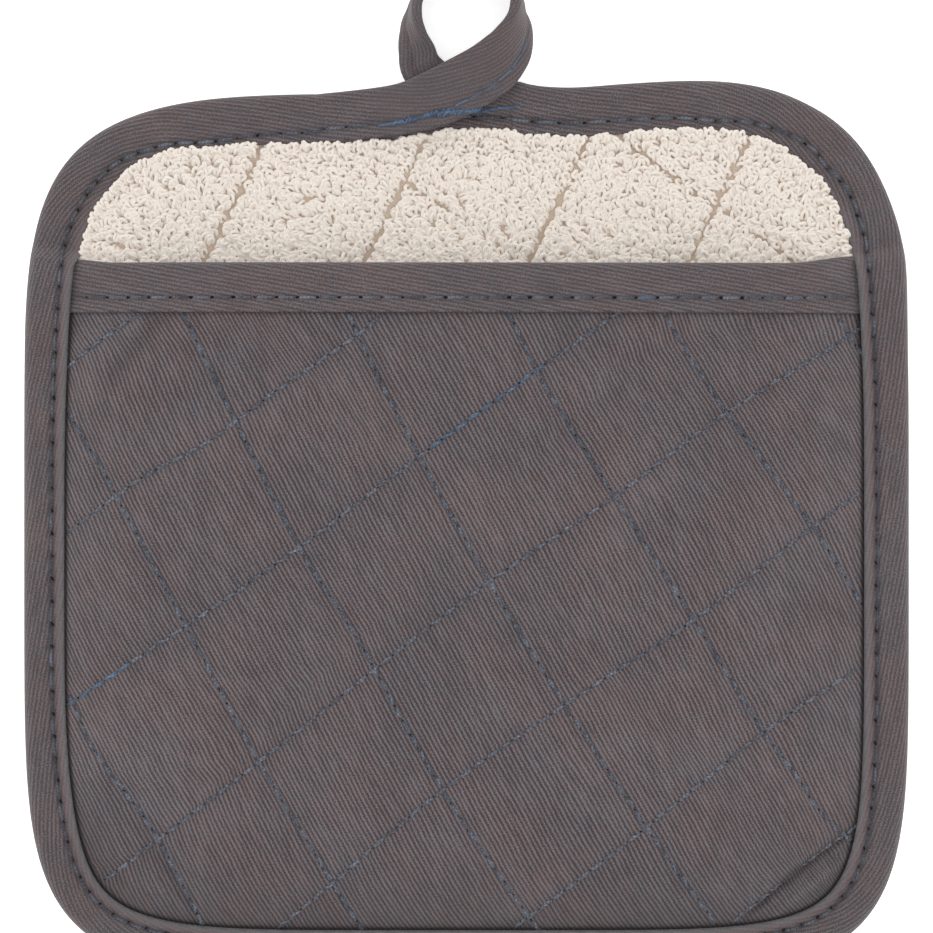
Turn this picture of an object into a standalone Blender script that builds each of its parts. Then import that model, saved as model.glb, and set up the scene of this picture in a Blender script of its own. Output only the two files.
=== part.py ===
"""A square quilted pot holder with a hand pocket, lying on a surface face up.

Pieces, as a maker cuts and sews them: a quilted back panel with its looped towelling face up, a
shorter quilted pocket panel over it, a folded binding strip along the pocket's mouth, a folded
binding strip all round the edge, and the hanging loop made from that strip's own tail.

Metres, +Z up. The origin is the middle of the object's outline on the surface that it lies on.
+Y points to the edge that carries the hanging loop. Neighbouring pieces stand GAP apart.
"""
import math

import bmesh
import bpy
import numpy as np
from mathutils import Vector
from mathutils.geometry import tessellate_polygon

# Outline of the body: a rounded square, written as a superellipse with its own power in each quarter.
HALF_WIDTH = 0.1018
MIDDLE_Y = -0.0140
REACH_DOWN = 0.1032
REACH_UP = 0.1006
POWER_LOW_LEFT = 5.75
POWER_LOW_RIGHT = 5.95
POWER_HIGH_LEFT = 5.6
POWER_HIGH_RIGHT = 4.8

# The upper edge slants and waves a little. The right side stands out beside the pocket's mouth.
TOP_SLANT = 0.032
TOP_WAVE = (
    # x, how much higher than the slanting line
    (-0.102, 0.00000), (-0.080, 0.00020), (-0.060, 0.00040), (-0.040, 0.00010), (-0.027, -0.00025),
    (-0.010, 0.00000), (0.003, 0.00050), (0.015, 0.00040), (0.026, -0.00040), (0.038, 0.00025),
    (0.057, 0.00130), (0.070, 0.00135), (0.081, 0.00075), (0.102, 0.00000),
)
SWELL = 0.00095
SWELL_Y = 0.0500
SWELL_LENGTH = 0.0130

# Stations round the outline are spaced by length, by turning and by the pocket's two ends.
OUTLINE_POINTS = 4000
RING_STATIONS = 96
STATION_LENGTH = 0.0140
STATION_TURN = math.radians(8.0)
MOUTH_STATION_LENGTH = 0.0045
MOUTH_STATION_REACH = 0.0180

# Clearances: between faces that lie on each other, and beside the binding's inner edge.
GAP = 0.0003
EDGE_CLEAR = 0.0005

# Edge binding: a strip folded over the edge. It is drawn in narrower along the left side's middle, and
# it is sewn wider on the right side beside and above the pocket's mouth.
LEAF = 0.0010
WIDTH_SIDE = 0.0102
WIDTH_TOP = 0.0113
WIDTH_LOW = 0.0101
LEFT_DRAW = 0.00105
LEFT_DRAW_Y = -0.0240
LEFT_DRAW_LENGTH = 0.0500
RIGHT_WIDE = 0.00155
RIGHT_WIDE_Y = 0.0600
RIGHT_WIDE_LENGTH = 0.0280
BINDING_WALL = 0.0011
STITCH_INSET = 0.0028
STITCH_SINK = 0.0004
STITCH_REACH = 0.0015
CORNER_CUT = 0.0003
NOSE_LENGTH = 0.0022
NOSE_CURVE = (
    # share of the nose's length in from the fold, share of the height
    (1.0, 0.0), (0.25, 0.22), (0.0, 0.5), (0.2, 0.8), (1.0, 1.0),
)

# Height of the edge binding: it climbs over the pocket's mouth strip and settles on the pocket's rim.
HEIGHT_TOP = 0.0046
HEIGHT_MOUTH = 0.0080
HEIGHT_LOW = 0.0065
CLIMB_START = 0.0055
CLIMB_LENGTH = 0.0045
SETTLE_START = 0.0020
SETTLE_LENGTH = 0.0080

# Back panel.
PANEL_INSET = 0.0015
BACK_RIM_LOW = 0.0013
BACK_RIM_HIGH = 0.0033
BACK_FACE = 0.0060
BACK_SHOULDER = 0.0090
UNDERSIDE_SHOULDER = 0.0045
BACK_SEAM_DEPTH = 0.0007

# Both panels have two rows of points inside the binding, where they swell.
SWELL_ROWS = (0.0045, 0.0105)

# Pocket panel. Its puff and its fade below the mouth strip are shares of lengths above them.
MOUTH_Y = 0.0463
MOUTH_SLANT = -0.0010
POCKET_RIM_LOW = 0.0036
POCKET_RIM_HIGH = 0.0052
POCKET_RISE = 0.0092
POCKET_RISE_LENGTH = 0.0150
POCKET_PUFF = 0.4
POCKET_THICK = 0.0042
MOUTH_RIM_LIFT = 0.0010
MOUTH_EDGE_THICK = 0.0010
MOUTH_THICK = 0.0024

# Pocket binding: a strip folded over the pocket's mouth.
STRIP_WIDTH = 0.0113
STRIP_LEAF = 0.0007
STRIP_WALL = 0.0009
STRIP_STITCH_INSET = 0.0032
STRIP_EASE = 0.0002
STRIP_LIP = 0.0012
STRIP_SINK = 0.6
STRIP_NOSE = 0.7
STRIP_FADE = 0.7
STRIP_LAST_CUT = 1.5
STRIP_HALF_STATIONS = 9
STRIP_SPREAD = 1.8

# Quilting: seams cross the panels in two families. The soft puff is full SEAM_REACH from a seam.
SEAM_REACH = 0.0065

# How near a corner must lie to a cut to be taken as on it: loosely for seams, closely for an edge.
SEAM_SNAP = 0.0005
EDGE_SNAP = 0.00005

# Pocket seams that rise to the right: where each crosses x = 0, its angle, how deep it is drawn in.
POCKET_RISING = (
    # y at x = 0, angle, depth
    (0.0872, 35.2, 0.0013),
    (0.0475, 34.4, 0.0013),
    (0.0101, 35.5, 0.0014),
    (-0.0345, 36.1, 0.0013),
    (-0.0738, 36.8, 0.0013),
    (-0.1145, 37.2, 0.0015),
    (-0.1513, 37.4, 0.0024),
)

# Pocket seams that fall to the right: where each crosses y = 0, its angle, how deep it is drawn in.
POCKET_FALLING = (
    # x at y = 0, angle, depth
    (-0.1231, -59.3, 0.0015),
    (-0.0844, -60.5, 0.0013),
    (-0.0449, -60.3, 0.0013),
    (-0.0063, -59.0, 0.0013),
    (0.0314, -57.9, 0.0013),
    (0.0687, -55.4, 0.0012),
    (0.1060, -54.0, 0.0012),
)

# Back panel seams: steep ones given where they cross y = 0, shallow ones where they cross x = 0.
BACK_STEEP_ANGLE = 64.0
BACK_STEEP_X = (-0.1566, -0.1196, -0.0826, -0.0456, -0.0082, 0.0286, 0.0656, 0.1026, 0.1396)
BACK_SHALLOW_ANGLE = -35.5
BACK_SHALLOW_Y = (0.1454, 0.1002, 0.0550, 0.0098, -0.0354, -0.0806, -0.1258)

# Hanging loop: the tail of the edge binding, seen flat where it leaves the edge and standing on
# its stitched edge over the top. Its end goes back under the first strand.
LOOP_ROUTE = (
    # x, y, z, width, thickness, tilt in degrees (90 stands on edge)
    (-0.0230, 0.0805, 0.00545, 0.0106, 0.0010, 0.0),
    (-0.0166, 0.0816, 0.00665, 0.0114, 0.0016, 0.0),
    (-0.0079, 0.0839, 0.00850, 0.0128, 0.0021, 2.0),
    (-0.0010, 0.0872, 0.00870, 0.0132, 0.0022, 5.0),
    (0.0048, 0.0906, 0.00880, 0.0132, 0.0022, 14.0),
    (0.0084, 0.0943, 0.00870, 0.0130, 0.0023, 32.0),
    (0.0106, 0.0975, 0.00840, 0.0128, 0.0024, 48.0),
    (0.0118, 0.1010, 0.00800, 0.0128, 0.0025, 66.0),
    (0.0119, 0.1044, 0.00760, 0.0128, 0.0026, 82.0),
    (0.0112, 0.1080, 0.00700, 0.0128, 0.0026, 89.0),
    (0.0075, 0.1129, 0.00680, 0.0128, 0.0026, 90.0),
    (0.0002, 0.1160, 0.00680, 0.0128, 0.0026, 90.0),
    (-0.0070, 0.1129, 0.00680, 0.0128, 0.0026, 90.0),
    (-0.0108, 0.1080, 0.00680, 0.0124, 0.0026, 89.0),
    (-0.0120, 0.1036, 0.00670, 0.0117, 0.0026, 82.0),
    (-0.0120, 0.0994, 0.00600, 0.0096, 0.0025, 60.0),
    (-0.0112, 0.0952, 0.00535, 0.0092, 0.0022, 24.0),
    (-0.0102, 0.0914, 0.00560, 0.0096, 0.0018, 6.0),
    (-0.0070, 0.0877, 0.00580, 0.0100, 0.0016, 0.0),
    (-0.0032, 0.0845, 0.00580, 0.0102, 0.0016, 0.0),
    (-0.0008, 0.0815, 0.00580, 0.0102, 0.0016, 0.0),
)
LOOP_STATIONS = 44
CURVE_STEPS = 24

# Colours are linear, roughness is that of matt cotton.
TWILL_COLOUR = (0.125, 0.105, 0.111)
BINDING_COLOUR = (0.112, 0.097, 0.102)
TERRY_COLOUR = (0.708, 0.624, 0.558)
CLOTH_ROUGHNESS = 0.9
SHARP_ANGLE = math.radians(50.0)

OBJECT_NAME = "pot_holder"


def clear_scene():
    """Remove every object that the file opens with."""
    for thing in list(bpy.data.objects):
        bpy.data.objects.remove(thing, do_unlink=True)


def cloth_material(name, colour):
    """Make one matt cloth material."""
    material = bpy.data.materials.new(name)
    material.use_nodes = True
    shader = material.node_tree.nodes["Principled BSDF"]
    shader.inputs["Base Color"].default_value = (*colour, 1.0)
    shader.inputs["Roughness"].default_value = CLOTH_ROUGHNESS
    shader.inputs["Metallic"].default_value = 0.0
    return material


def smooth(value):
    """Ease from 0 to 1 while value goes from 0 to 1."""
    t = np.clip(value, 0.0, 1.0)
    return t * t * (3.0 - 2.0 * t)


def curve_through(rows):
    """Return a dense smooth curve that passes through every row of a table."""
    table = np.array(rows)
    ends = np.vstack([2.0 * table[0] - table[1], table, 2.0 * table[-1] - table[-2]])
    t = np.linspace(0.0, 1.0, CURVE_STEPS, endpoint=False)[None, :, None]
    before, start, end, after = (ends[k:len(ends) - 3 + k, None, :] for k in range(4))
    curve = 0.5 * (2.0 * start + (end - before) * t
                   + (2.0 * before - 5.0 * start + 4.0 * end - after) * t ** 2
                   + (3.0 * start - before - 3.0 * end + after) * t ** 3)
    return np.vstack([curve.reshape(-1, table.shape[1]), table[-1:]])


def outline_curve():
    """Return a dense run of points round the body, counter-clockwise from +X."""
    angle = np.linspace(0.0, 2.0 * math.pi, OUTLINE_POINTS, endpoint=False)
    right, up = np.cos(angle), np.sin(angle)
    power = np.where(up >= 0.0, np.where(right < 0.0, POWER_HIGH_LEFT, POWER_HIGH_RIGHT),
                     np.where(right < 0.0, POWER_LOW_LEFT, POWER_LOW_RIGHT))
    reach = np.where(up >= 0.0, REACH_UP, REACH_DOWN)
    x = HALF_WIDTH * np.sign(right) * np.abs(right) ** (2.0 / power)
    y = reach * np.sign(up) * np.abs(up) ** (2.0 / power)
    wave = curve_through(TOP_WAVE)
    rise = TOP_SLANT * x + np.interp(x, wave[:, 0], wave[:, 1])
    y = y + rise * smooth(y / REACH_UP) + MIDDLE_Y
    swell = SWELL * np.clip(x / HALF_WIDTH, 0.0, 1.0) ** 2 * np.exp(-((y - SWELL_Y) / SWELL_LENGTH) ** 2)
    return np.column_stack([x + swell, y])


def right_widening(y):
    """Return how much wider the binding is at a level of the right side."""
    return RIGHT_WIDE * np.exp(-((y - RIGHT_WIDE_Y) / RIGHT_WIDE_LENGTH) ** 2)


def binding_width(points, inward):
    """Return the binding's width at stations, which differs between the sides, the top and the bottom."""
    end = np.where(inward[:, 1] < 0.0, WIDTH_TOP, WIDTH_LOW)
    width = WIDTH_SIDE + (end - WIDTH_SIDE) * inward[:, 1] ** 4
    drawn = LEFT_DRAW * np.exp(-((points[:, 1] - LEFT_DRAW_Y) / LEFT_DRAW_LENGTH) ** 4)
    wider = right_widening(points[:, 1]) * np.abs(inward[:, 0])
    return width + np.where(points[:, 0] < 0.0, -drawn * inward[:, 0] ** 4, wider)


def spaced_outline():
    """Return the ring's stations with their inward directions and the strip's width at each."""
    dense = outline_curve()
    step = np.roll(dense, -1, axis=0) - dense
    length = np.linalg.norm(step, axis=1)
    heading = np.unwrap(np.arctan2(step[:, 1], step[:, 0]))
    turn = np.abs(np.gradient(heading))
    at_mouth = np.abs(dense[:, 1] - MOUTH_Y + 0.5 * STRIP_WIDTH) < MOUTH_STATION_REACH
    weight = length / STATION_LENGTH + turn / STATION_TURN
    weight = weight + np.where(at_mouth, length / MOUTH_STATION_LENGTH, 0.0)
    total = np.concatenate([[0.0], np.cumsum(weight)])
    closed = np.vstack([dense, dense[:1]])
    wanted = np.linspace(0.0, total[-1], RING_STATIONS, endpoint=False)
    points = np.column_stack([np.interp(wanted, total, closed[:, axis]) for axis in (0, 1)])
    ahead = np.roll(points, -1, axis=0) - np.roll(points, 1, axis=0)
    ahead = ahead / np.linalg.norm(ahead, axis=1)[:, None]
    inward = np.column_stack([-ahead[:, 1], ahead[:, 0]])
    return points, inward, binding_width(points, inward)


RING_POINTS, RING_INWARD, RING_WIDTH = spaced_outline()


def inset_loop(distance):
    """Return the outline's stations moved inwards by a distance, or by one for each station."""
    return RING_POINTS + RING_INWARD * np.broadcast_to(distance, RING_WIDTH.shape)[:, None]


def depth_inside(points):
    """Return how far clear of the binding's inner edge each point lies, negative under the strip."""
    loop = inset_loop(RING_WIDTH + EDGE_CLEAR)
    start = loop[None, :, :]
    along = np.roll(loop, -1, axis=0)[None, :, :] - start
    offset = points[:, None, :] - start
    share = np.clip((offset * along).sum(2) / (along * along).sum(2), 0.0, 1.0)
    miss = offset - share[:, :, None] * along
    distance = np.sqrt((miss * miss).sum(2))
    nearest = distance.argmin(axis=1)
    row = np.arange(len(points))
    side = along[0, nearest, 0] * offset[row, nearest, 1] - along[0, nearest, 1] * offset[row, nearest, 0]
    return distance[row, nearest] * np.where(side >= 0.0, 1.0, -1.0)


def mouth_height(x):
    """Return the y of the pocket's mouth at x."""
    return MOUTH_Y + MOUTH_SLANT * x


def pocket_seams():
    """Return the pocket's seams as point, direction and depth."""
    seams = []
    for crossing, angle, depth in POCKET_RISING:
        seams.append((Vector((0.0, crossing, 0.0)), math.radians(angle), depth))
    for crossing, angle, depth in POCKET_FALLING:
        seams.append((Vector((crossing, 0.0, 0.0)), math.radians(angle), depth))
    return seams


def back_seams():
    """Return the back panel's seams as point, direction and depth."""
    seams = []
    for crossing in BACK_STEEP_X:
        seams.append((Vector((crossing, 0.0, 0.0)), math.radians(BACK_STEEP_ANGLE), BACK_SEAM_DEPTH))
    for crossing in BACK_SHALLOW_Y:
        seams.append((Vector((0.0, crossing, 0.0)), math.radians(BACK_SHALLOW_ANGLE), BACK_SEAM_DEPTH))
    return seams


def seam_pull(points, seams):
    """Return how far each point is drawn in by the deepest seam near it."""
    pull = np.zeros(len(points))
    for crossing, angle, depth in seams:
        across = (points[:, 1] - crossing.y) * math.cos(angle) - (points[:, 0] - crossing.x) * math.sin(angle)
        near = 1.0 - smooth(np.abs(across) / SEAM_REACH)
        pull = np.maximum(pull, depth * near)
    return pull


def back_top(points):
    """Height of the towelling face: thin under the binding, then swelling over a soft shoulder."""
    shoulder = smooth(depth_inside(points) / BACK_SHOULDER)
    swell = BACK_FACE - BACK_RIM_HIGH - seam_pull(points, back_seams())
    return BACK_RIM_HIGH + shoulder * swell


def back_bottom(points):
    """Height of the underside: flat on the surface but for its seams and its bound rim."""
    shoulder = smooth(depth_inside(points) / UNDERSIDE_SHOULDER)
    return BACK_RIM_LOW + shoulder * (seam_pull(points, back_seams()) - BACK_RIM_LOW)


def near_mouth(points):
    """Return 1 within the mouth's strip and 0 well below it."""
    below = mouth_height(points[:, 0]) - points[:, 1]
    return 1.0 - smooth((below - STRIP_WIDTH - 2.0 * GAP) / (STRIP_FADE * STRIP_WIDTH))


def pocket_bottom(points):
    """Height of the pocket's inner face: it springs up from the bound rim over the hand space."""
    inside = np.maximum(depth_inside(points), 0.0)
    rise = POCKET_RISE * (1.0 - np.exp(-inside / POCKET_RISE_LENGTH))
    return POCKET_RIM_LOW + MOUTH_RIM_LIFT * near_mouth(points) + rise


def pocket_top(points):
    """Height of the pocket's outer face: full and quilted, pressed thin in the two bindings."""
    inside = np.maximum(depth_inside(points), 0.0)
    grown = 1.0 - np.exp(-inside / (POCKET_PUFF * POCKET_RISE_LENGTH))
    pressed = near_mouth(points)
    rim = POCKET_RIM_HIGH - POCKET_RIM_LOW
    full = rim + grown * (POCKET_THICK - rim - seam_pull(points, pocket_seams()))
    bound = MOUTH_EDGE_THICK + grown * (MOUTH_THICK - MOUTH_EDGE_THICK)
    return pocket_bottom(points) + full + pressed * (bound - full)


def side_reach(side, level):
    """Return the outline's x at a level on its left (-1) or right (1) side."""
    dense = outline_curve()
    dense = dense[dense[:, 0] * side > 0.5 * HALF_WIDTH]
    order = dense[:, 1].argsort()
    return float(np.interp(level, dense[order, 1], dense[order, 0]))


def strip_stations():
    """Return each station's x at the mouth strip's upper and lower edge, closest where it springs up.

    The outer stations run along the side seams, so they lean as the outline does.
    """
    share = (np.arange(STRIP_HALF_STATIONS + 1) / STRIP_HALF_STATIONS) ** STRIP_SPREAD
    halves = []
    for side in (-1.0, 1.0):
        lines = []
        for level in (MOUTH_Y, MOUTH_Y - STRIP_WIDTH):
            rim = abs(side_reach(side, level))
            reach = rim - PANEL_INSET
            edge = rim - WIDTH_SIDE - EDGE_CLEAR - (right_widening(level) if side > 0.0 else 0.0)
            lines.append(side * np.concatenate([[reach, 0.5 * (reach + edge)], edge * (1.0 - share)]))
        halves.append(np.column_stack(lines))
    return np.vstack([halves[0], halves[1][-2::-1]])


def cut(mesh, point, normal, drop=False, faces=None):
    """Cut a flat mesh, or some of its faces, along a line, and drop the far side if asked."""
    chosen = mesh.faces[:] if faces is None else faces
    parts = {part for face in chosen for part in (*face.verts, *face.edges)}
    snap = EDGE_SNAP if drop else SEAM_SNAP
    bmesh.ops.bisect_plane(mesh, geom=list(parts) + chosen, dist=snap, plane_co=point,
                           plane_no=normal, clear_outer=drop)


def flat_panel(seams, has_mouth):
    """Make a flat panel of the body's outline with rows round its rim and cuts along its seams."""
    mesh = bmesh.new()
    rows = []
    for inset in (PANEL_INSET, RING_WIDTH + EDGE_CLEAR, *(RING_WIDTH + row for row in SWELL_ROWS)):
        rows.append([mesh.verts.new((x, y, 0.0)) for x, y in inset_loop(inset)])
    for outer, inner in zip(rows[:-1], rows[1:]):
        for index in range(RING_STATIONS):
            after = (index + 1) % RING_STATIONS
            mesh.faces.new((outer[index], outer[after], inner[after], inner[index]))
    mesh.faces.new(rows[-1])
    for crossing, angle, _ in seams:
        normal = Vector((-math.sin(angle), math.cos(angle), 0.0))
        for shift in (-SEAM_REACH, 0.0, SEAM_REACH):
            cut(mesh, crossing + normal * shift, normal)
    if has_mouth:
        normal = Vector((-MOUTH_SLANT, 1.0, 0.0)).normalized()
        edge = Vector((0.0, MOUTH_Y, 0.0))
        for inset in (STRIP_WIDTH + 2.0 * GAP, STRIP_LAST_CUT * STRIP_WIDTH):
            cut(mesh, edge - normal * inset, normal)
        cut(mesh, edge - normal * PANEL_INSET, normal, drop=True)
        for upper, lower in strip_stations():
            bound = [face for face in mesh.faces
                     if face.calc_center_median().y > mouth_height(upper) - STRIP_WIDTH - 2.0 * GAP]
            across = Vector((STRIP_WIDTH, lower - upper, 0.0)).normalized()
            cut(mesh, Vector((upper, MOUTH_Y, 0.0)), across, faces=bound)
    return mesh


def thicken(mesh, low, high):
    """Give a flat mesh a lower and an upper face at the heights that two functions return."""
    made = bmesh.ops.extrude_face_region(mesh, geom=mesh.faces[:])["geom"]
    lifted = {item for item in made if isinstance(item, bmesh.types.BMVert)}
    points = np.array([vertex.co[:2] for vertex in mesh.verts])
    lows = low(points)
    highs = high(points)
    for index, vertex in enumerate(mesh.verts):
        vertex.co.z = highs[index] if vertex in lifted else lows[index]
    bmesh.ops.triangulate(mesh, faces=mesh.faces[:])
    bmesh.ops.recalc_face_normals(mesh, faces=mesh.faces[:])


def add_object(name, mesh, material, collection):
    """Turn a finished bmesh into a smooth-shaded object with its material."""
    data = bpy.data.meshes.new(name)
    mesh.to_mesh(data)
    mesh.free()
    data.materials.append(material)
    data.shade_smooth()
    data.set_sharp_from_angle(angle=SHARP_ANGLE)
    thing = bpy.data.objects.new(name, data)
    collection.objects.link(thing)
    return thing


def loft(sections, closed):
    """Join equal sections in order, round into a ring or with a cap on each end."""
    mesh = bmesh.new()
    rows = [[mesh.verts.new(point) for point in section] for section in sections]
    count = len(rows[0])
    spans = list(zip(rows, rows[1:]))
    if closed:
        spans.append((rows[-1], rows[0]))
    for first, second in spans:
        for index in range(count):
            after = (index + 1) % count
            mesh.faces.new((first[index], first[after], second[after], second[index]))
    if not closed:
        for row in (rows[0], rows[-1]):
            for corners in tessellate_polygon([[vertex.co for vertex in row]]):
                mesh.faces.new([row[index] for index in corners])
    bmesh.ops.triangulate(mesh, faces=mesh.faces[:])
    bmesh.ops.recalc_face_normals(mesh, faces=mesh.faces[:])
    return mesh


def binding_height(y):
    """Height of the edge binding's upper face: highest where it crosses the pocket's mouth."""
    onto = smooth((MOUTH_Y + CLIMB_START - y) / CLIMB_LENGTH)
    off = smooth((MOUTH_Y - STRIP_WIDTH - SETTLE_START - y) / SETTLE_LENGTH)
    return HEIGHT_TOP + onto * (HEIGHT_MOUTH - HEIGHT_TOP) + off * (HEIGHT_LOW - HEIGHT_MOUTH)


def edge_section(width, height):
    """Return the folded strip's section as distance in from the outline and height.

    It runs from the lower lip out along the underside, round the nose, back over the stitched upper
    leaf to its lip, and returns along the inside.
    """
    stitch = width - STITCH_INSET
    wall = BINDING_WALL
    lip = width - CORNER_CUT
    under = height - LEAF
    nose = tuple((inset * NOSE_LENGTH, level * height) for inset, level in NOSE_CURVE)
    upper = ((stitch - STITCH_REACH, height), (stitch, height - STITCH_SINK),
             (stitch + STITCH_REACH, height), (lip, height), (width, height - 0.5 * LEAF), (lip, under))
    inner = ((wall + CORNER_CUT, under), (wall, under - CORNER_CUT), (wall, LEAF + CORNER_CUT),
             (wall + CORNER_CUT, LEAF), (lip, LEAF), (width, 0.5 * LEAF))
    return ((lip, 0.0), *nose, *upper, *inner)


def make_edge_binding(collection):
    """Carry the folded strip's section all round the body."""
    sections = []
    for point, inward, width in zip(RING_POINTS, RING_INWARD, RING_WIDTH):
        height = float(binding_height(point[1]))
        sections.append([(*(point + inward * inset), level) for inset, level in edge_section(width, height)])
    add_object("edge_binding", loft(sections, closed=True),
               cloth_material("binding_twill", BINDING_COLOUR), collection)


def make_back_panel(collection):
    """Make the quilted back panel."""
    mesh = flat_panel(back_seams(), has_mouth=False)
    thicken(mesh, back_bottom, back_top)
    add_object("back_panel", mesh, cloth_material("terry_loops", TERRY_COLOUR), collection)


def make_pocket_panel(collection):
    """Make the quilted pocket panel, which is open along its mouth."""
    mesh = flat_panel(pocket_seams(), has_mouth=True)
    thicken(mesh, pocket_bottom, pocket_top)
    add_object("pocket_panel", mesh, cloth_material("pocket_twill", TWILL_COLOUR), collection)


def strip_section(upper, lower):
    """Return the mouth strip's section at a station, folded over the pocket panel's pressed edge."""
    stitch = STRIP_WIDTH - STRIP_STITCH_INSET
    back = np.array([STRIP_WIDTH, stitch, stitch - STRIP_STITCH_INSET, PANEL_INSET])

    def spot(inset):
        x = upper + (lower - upper) * inset / STRIP_WIDTH
        return x, mouth_height(x) - inset

    line = np.array([spot(inset) for inset in back])
    clear = GAP + STRIP_EASE * smooth(depth_inside(line) / STRIP_STITCH_INSET)
    under = pocket_bottom(line) - clear
    over = pocket_top(line) + clear
    middle = 0.5 * (under[3] + over[3])
    nose = STRIP_NOSE * (over[3] + STRIP_LEAF - middle)
    outer = [(inset, level - STRIP_LEAF) for inset, level in zip(back, under)]
    outer += [(CORNER_CUT, middle - nose), (0.0, middle), (CORNER_CUT, middle + nose)]
    outer += [(inset, level + STRIP_LEAF) for inset, level in zip(back[:1:-1], over[:1:-1])]
    outer += [(stitch, over[1] + STRIP_SINK * STRIP_LEAF), (STRIP_WIDTH - STRIP_LIP, over[0] + STRIP_LEAF),
              (STRIP_WIDTH, over[0] + STRIP_SINK * STRIP_LEAF)]
    inner = list(zip(back[:3], over[:3])) + [(STRIP_WALL, over[3]), (STRIP_WALL, under[3])]
    inner += list(zip(back[2::-1], under[2::-1]))
    return [(*spot(inset), level) for inset, level in outer + inner]


def make_pocket_binding(collection):
    """Carry the mouth strip's section from one side seam to the other."""
    sections = [strip_section(upper, lower) for upper, lower in strip_stations()]
    add_object("pocket_binding", loft(sections, closed=False),
               cloth_material("pocket_binding_twill", TWILL_COLOUR), collection)


def smooth_route(rows, count):
    """Read equally spaced rows from a smooth curve that passes through every given row."""
    fine = curve_through(rows)
    run = np.concatenate([[0.0], np.cumsum(np.linalg.norm(np.diff(fine[:, :2], axis=0), axis=1))])
    wanted = np.linspace(0.0, run[-1], count)
    return np.column_stack([np.interp(wanted, run, fine[:, column]) for column in range(fine.shape[1])])


def ribbon_section(width, thickness):
    """Return a flat strip's section with rounded long edges: across it, then through it."""
    half = 0.5 * width
    deep = 0.5 * thickness
    shoulder = half - deep
    return ((half, 0.0), (shoulder, deep), (0.0, deep), (-shoulder, deep),
            (-half, 0.0), (-shoulder, -deep), (0.0, -deep), (shoulder, -deep))


def make_hanging_loop(collection):
    """Carry the flat tail along its route, tilting it about its own length on the way."""
    route = smooth_route(LOOP_ROUTE, LOOP_STATIONS)
    ahead = np.gradient(route[:, :2], axis=0)
    ahead = ahead / np.linalg.norm(ahead, axis=1)[:, None]
    sections = []
    for (x, y, z, width, thickness, tilt), (ahead_x, ahead_y) in zip(route, ahead):
        angle = math.radians(tilt)
        outward = Vector((ahead_y * math.cos(angle), -ahead_x * math.cos(angle), -math.sin(angle)))
        normal = outward.cross(Vector((ahead_x, ahead_y, 0.0)))
        centre = Vector((x, y, z))
        section = [tuple(centre + outward * across + normal * through)
                   for across, through in ribbon_section(width, thickness)]
        sections.append(section)
    add_object("hanging_loop", loft(sections, closed=False),
               cloth_material("loop_twill", BINDING_COLOUR), collection)


def main():
    clear_scene()
    collection = bpy.data.collections.new(OBJECT_NAME)
    bpy.context.scene.collection.children.link(collection)
    make_back_panel(collection)
    make_pocket_panel(collection)
    make_pocket_binding(collection)
    make_edge_binding(collection)
    make_hanging_loop(collection)


main()
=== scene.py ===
"""The looks of a square quilted pot holder: twill pocket, towelling back, bound edges, hanging loop.

Metres, +Z up. The pot holder lies face up on a pale floor, with +Y towards its hanging loop.
Sizes that the solids share are repeated here under the same names. The pocket's seams, the stitched
rows' insets and the loop's route follow the real ones more closely here than in the solids.
"""
import math

import bpy
import numpy as np
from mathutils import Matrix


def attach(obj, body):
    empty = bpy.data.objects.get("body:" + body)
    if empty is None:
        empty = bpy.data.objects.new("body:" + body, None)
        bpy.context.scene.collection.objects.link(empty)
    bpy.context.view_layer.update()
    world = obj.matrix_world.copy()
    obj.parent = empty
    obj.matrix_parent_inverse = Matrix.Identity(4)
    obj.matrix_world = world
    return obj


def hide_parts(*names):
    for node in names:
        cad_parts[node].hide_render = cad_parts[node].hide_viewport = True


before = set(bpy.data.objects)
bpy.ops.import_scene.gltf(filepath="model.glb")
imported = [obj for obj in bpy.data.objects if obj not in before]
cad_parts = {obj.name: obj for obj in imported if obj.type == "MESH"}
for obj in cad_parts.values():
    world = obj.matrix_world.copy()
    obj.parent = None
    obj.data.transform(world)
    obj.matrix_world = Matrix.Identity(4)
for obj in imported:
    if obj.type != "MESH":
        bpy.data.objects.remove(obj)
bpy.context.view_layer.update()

MM = 0.001

# Outline of the body: a superellipse with its own power in each quarter, and a slanting, wavy upper edge.
HALF_WIDTH = 101.8 * MM
MIDDLE_Y = -14.0 * MM
REACH_DOWN = 103.2 * MM
REACH_UP = 100.6 * MM
POWER_LOW_LEFT = 5.75
POWER_LOW_RIGHT = 5.95
POWER_HIGH_LEFT = 5.6
POWER_HIGH_RIGHT = 4.8
SWELL = 0.95 * MM
SWELL_Y = 50.0 * MM
SWELL_LENGTH = 13.0 * MM
TOP_SLANT = 0.032
TOP_WAVE = (
    # x, how much higher than the slanting line, in millimetres
    (-102.0, 0.0), (-80.0, 0.2), (-60.0, 0.4), (-40.0, 0.1), (-27.0, -0.25), (-10.0, 0.0), (3.0, 0.5),
    (10.0, 1.6), (15.0, 0.5), (19.0, -0.1), (26.0, -0.4), (38.0, 0.25), (57.0, 1.3), (70.0, 1.35),
    (81.0, 0.75), (102.0, 0.0),
)
RING_START_X = -30.0 * MM
TAIL_START_X = -34.0 * MM

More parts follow.
